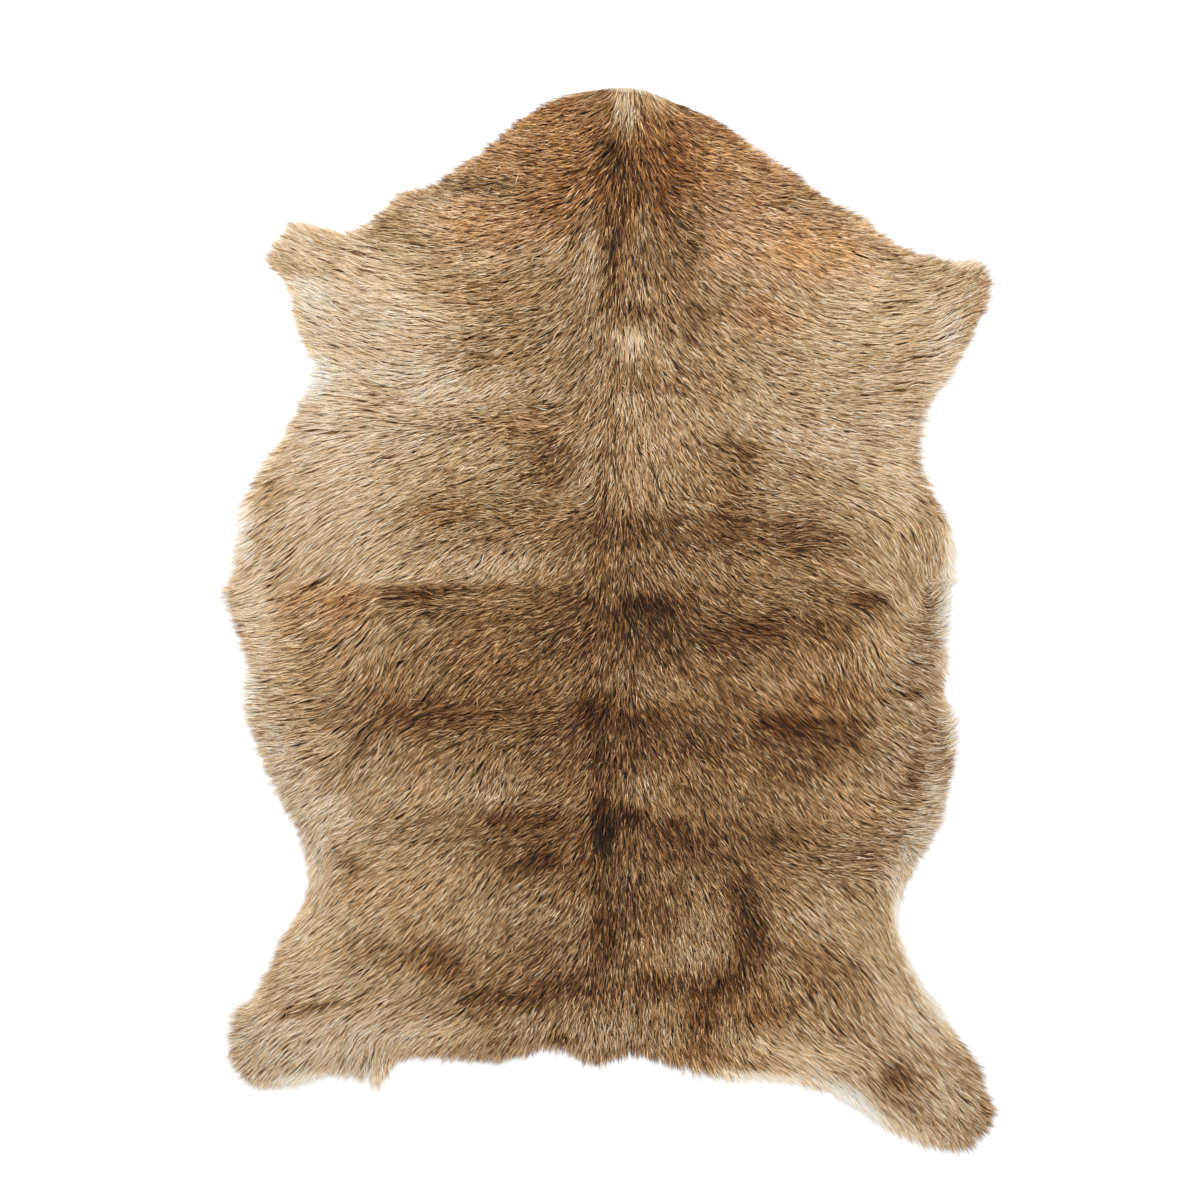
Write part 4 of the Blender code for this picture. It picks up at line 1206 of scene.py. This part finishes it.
def underfur_material():
    """Underfur: short dark wool with fine flecks."""
    return napped_material(
        "underfur",
        broad=(26.0, 2.0, 0.5),
        broad_stops=grey_stops(((0.3, 0.7), (0.7, 1.0))),
        fine=(420.0, 3.0, 0.5),
        fine_stops=((0.3, (0.035, 0.020, 0.010)), (0.7, (0.16, 0.095, 0.05))),
        bump=(0.8, 0.001),
        roughness=0.95,
    )


def suede_material():
    """Flesh side of the skin: pale suede with a soft nap and faint clouding."""
    return napped_material(
        "suede",
        broad=(14.0, 6.0, 0.65),
        broad_stops=((0.32, (0.58, 0.49, 0.37)), (0.5, (0.70, 0.61, 0.48)), (0.7, (0.80, 0.73, 0.61))),
        fine=(900.0, 4.0, 0.5),
        fine_stops=grey_stops(((0.35, 0.86), (0.65, 1.0))),
        bump=(0.35, 0.0004),
        roughness=0.9,
    )


def new_object(name, data):
    """An object in the scene with the given data."""
    thing = bpy.data.objects.new(name, data)
    bpy.context.scene.collection.objects.link(thing)
    return thing


def add_object(mesh, material):
    """Puts a mesh in the scene with its material, riding on the one body."""
    thing = new_object(mesh.name, mesh)
    mesh.materials.append(material)
    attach(thing, "root")
    return thing


def make_skin(coat):
    """The skin and the underfur on it, and the skin's area and size in metres."""
    loop = skin_rim(coat)
    inner, _ = inner_places(loop, SKIN_PITCH, SKIN_PITCH * SKIN_MARGIN)
    flat_top = np.full(len(inner), SKIN_THICKNESS)
    skin = add_object(slab("skin", loop, inner, 0.0, SKIN_THICKNESS, flat_top), suede_material())
    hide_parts(NODE)

    wool_loop = smoothed(loop + coat.inward(loop) * WOOL_INSET, WOOL_SMOOTHING)
    inner, nearest = inner_places(wool_loop, WOOL_PITCH, WOOL_PITCH * WOOL_MARGIN)
    rise = np.clip(nearest / UNDERFUR_SLOPE, 0.0, 1.0) ** UNDERFUR_ROUNDNESS
    least = SKIN_THICKNESS + UNDERFUR_LEAST
    top = least + np.maximum(coat.read(coat.surface, inner) - UNDERFUR_DEPTH - least, 0.0) * rise
    wool = slab("underfur", wool_loop, inner, SKIN_THICKNESS, SKIN_THICKNESS + UNDERFUR_RIM, top)
    underfur = add_object(wool, underfur_material())
    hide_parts(NODE)
    area = abs(signed_area(loop)) * MM * MM
    size = (loop.max(axis=0) - loop.min(axis=0)) * MM
    return skin, underfur, area, size


def make_coat(coat):
    """The hair, shared out between the coat's pieces from the rump up to the neck."""
    hair = grow_hair(coat)
    material = hair_material()
    order = np.argsort(hair["root"][:, 1], kind="stable")
    pieces = []
    for name, chosen in zip(COAT_PIECES, np.array_split(order, len(COAT_PIECES))):
        piece = add_object(hair_mesh(name, hair, chosen), material)
        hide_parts(NODE)
        pieces.append(piece)
    return pieces


def add_floor():
    """A plain white floor just under the skin."""
    mesh = bpy.data.meshes.new("floor")
    turns = ((-1, -1), (1, -1), (1, 1), (-1, 1))
    mesh.from_pydata([(x * FLOOR_HALF, y * FLOOR_HALF, FLOOR_LEVEL) for x, y in turns], [], [(0, 1, 2, 3)])
    floor = new_object("floor", mesh)
    nodes = Nodes("floor_white")
    nodes.feed_all(nodes.shader, {"Base Color": (FLOOR_SHADE,) * 3, "Roughness": FLOOR_ROUGHNESS})
    mesh.materials.append(nodes.material)


def add_light(name, place, size, power):
    """A square soft light aimed at the middle of the skin."""
    data = bpy.data.lights.new(name, "AREA")
    data.size = size
    data.energy = power
    lamp = new_object(name, data)
    lamp.location = place
    lamp.rotation_euler = Vector(place).to_track_quat("Z", "Y").to_euler()


def add_world():
    """An even white surround."""
    world = bpy.data.worlds.new("surround")
    world.use_nodes = True
    background = world.node_tree.nodes["Background"]
    background.inputs["Color"].default_value = (1.0, 1.0, 1.0, 1.0)
    background.inputs["Strength"].default_value = SURROUND
    bpy.context.scene.world = world


def add_camera():
    """Straight down over the middle of the photographed frame."""
    data = bpy.data.cameras.new("camera")
    data.lens = LENS
    data.sensor_width = SENSOR
    data.sensor_fit = "HORIZONTAL"
    camera = new_object("camera", data)
    height = FRAME_WIDTH * MM * LENS / SENSOR
    camera.location = (FRAME_MIDDLE[0] * MM, FRAME_MIDDLE[1] * MM, height)
    bpy.context.scene.camera = camera


def main():
    """Builds the scene around the CAD solid."""
    add_camera()
    add_world()
    add_floor()
    for light in LIGHTS:
        add_light(*light)
    bpy.context.scene.view_settings.view_transform = "Standard"

    coat = Coat(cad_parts[NODE].data, np.random.default_rng(SEED))
    skin, underfur, area, size = make_skin(coat)
    pieces = make_coat(coat)


main()
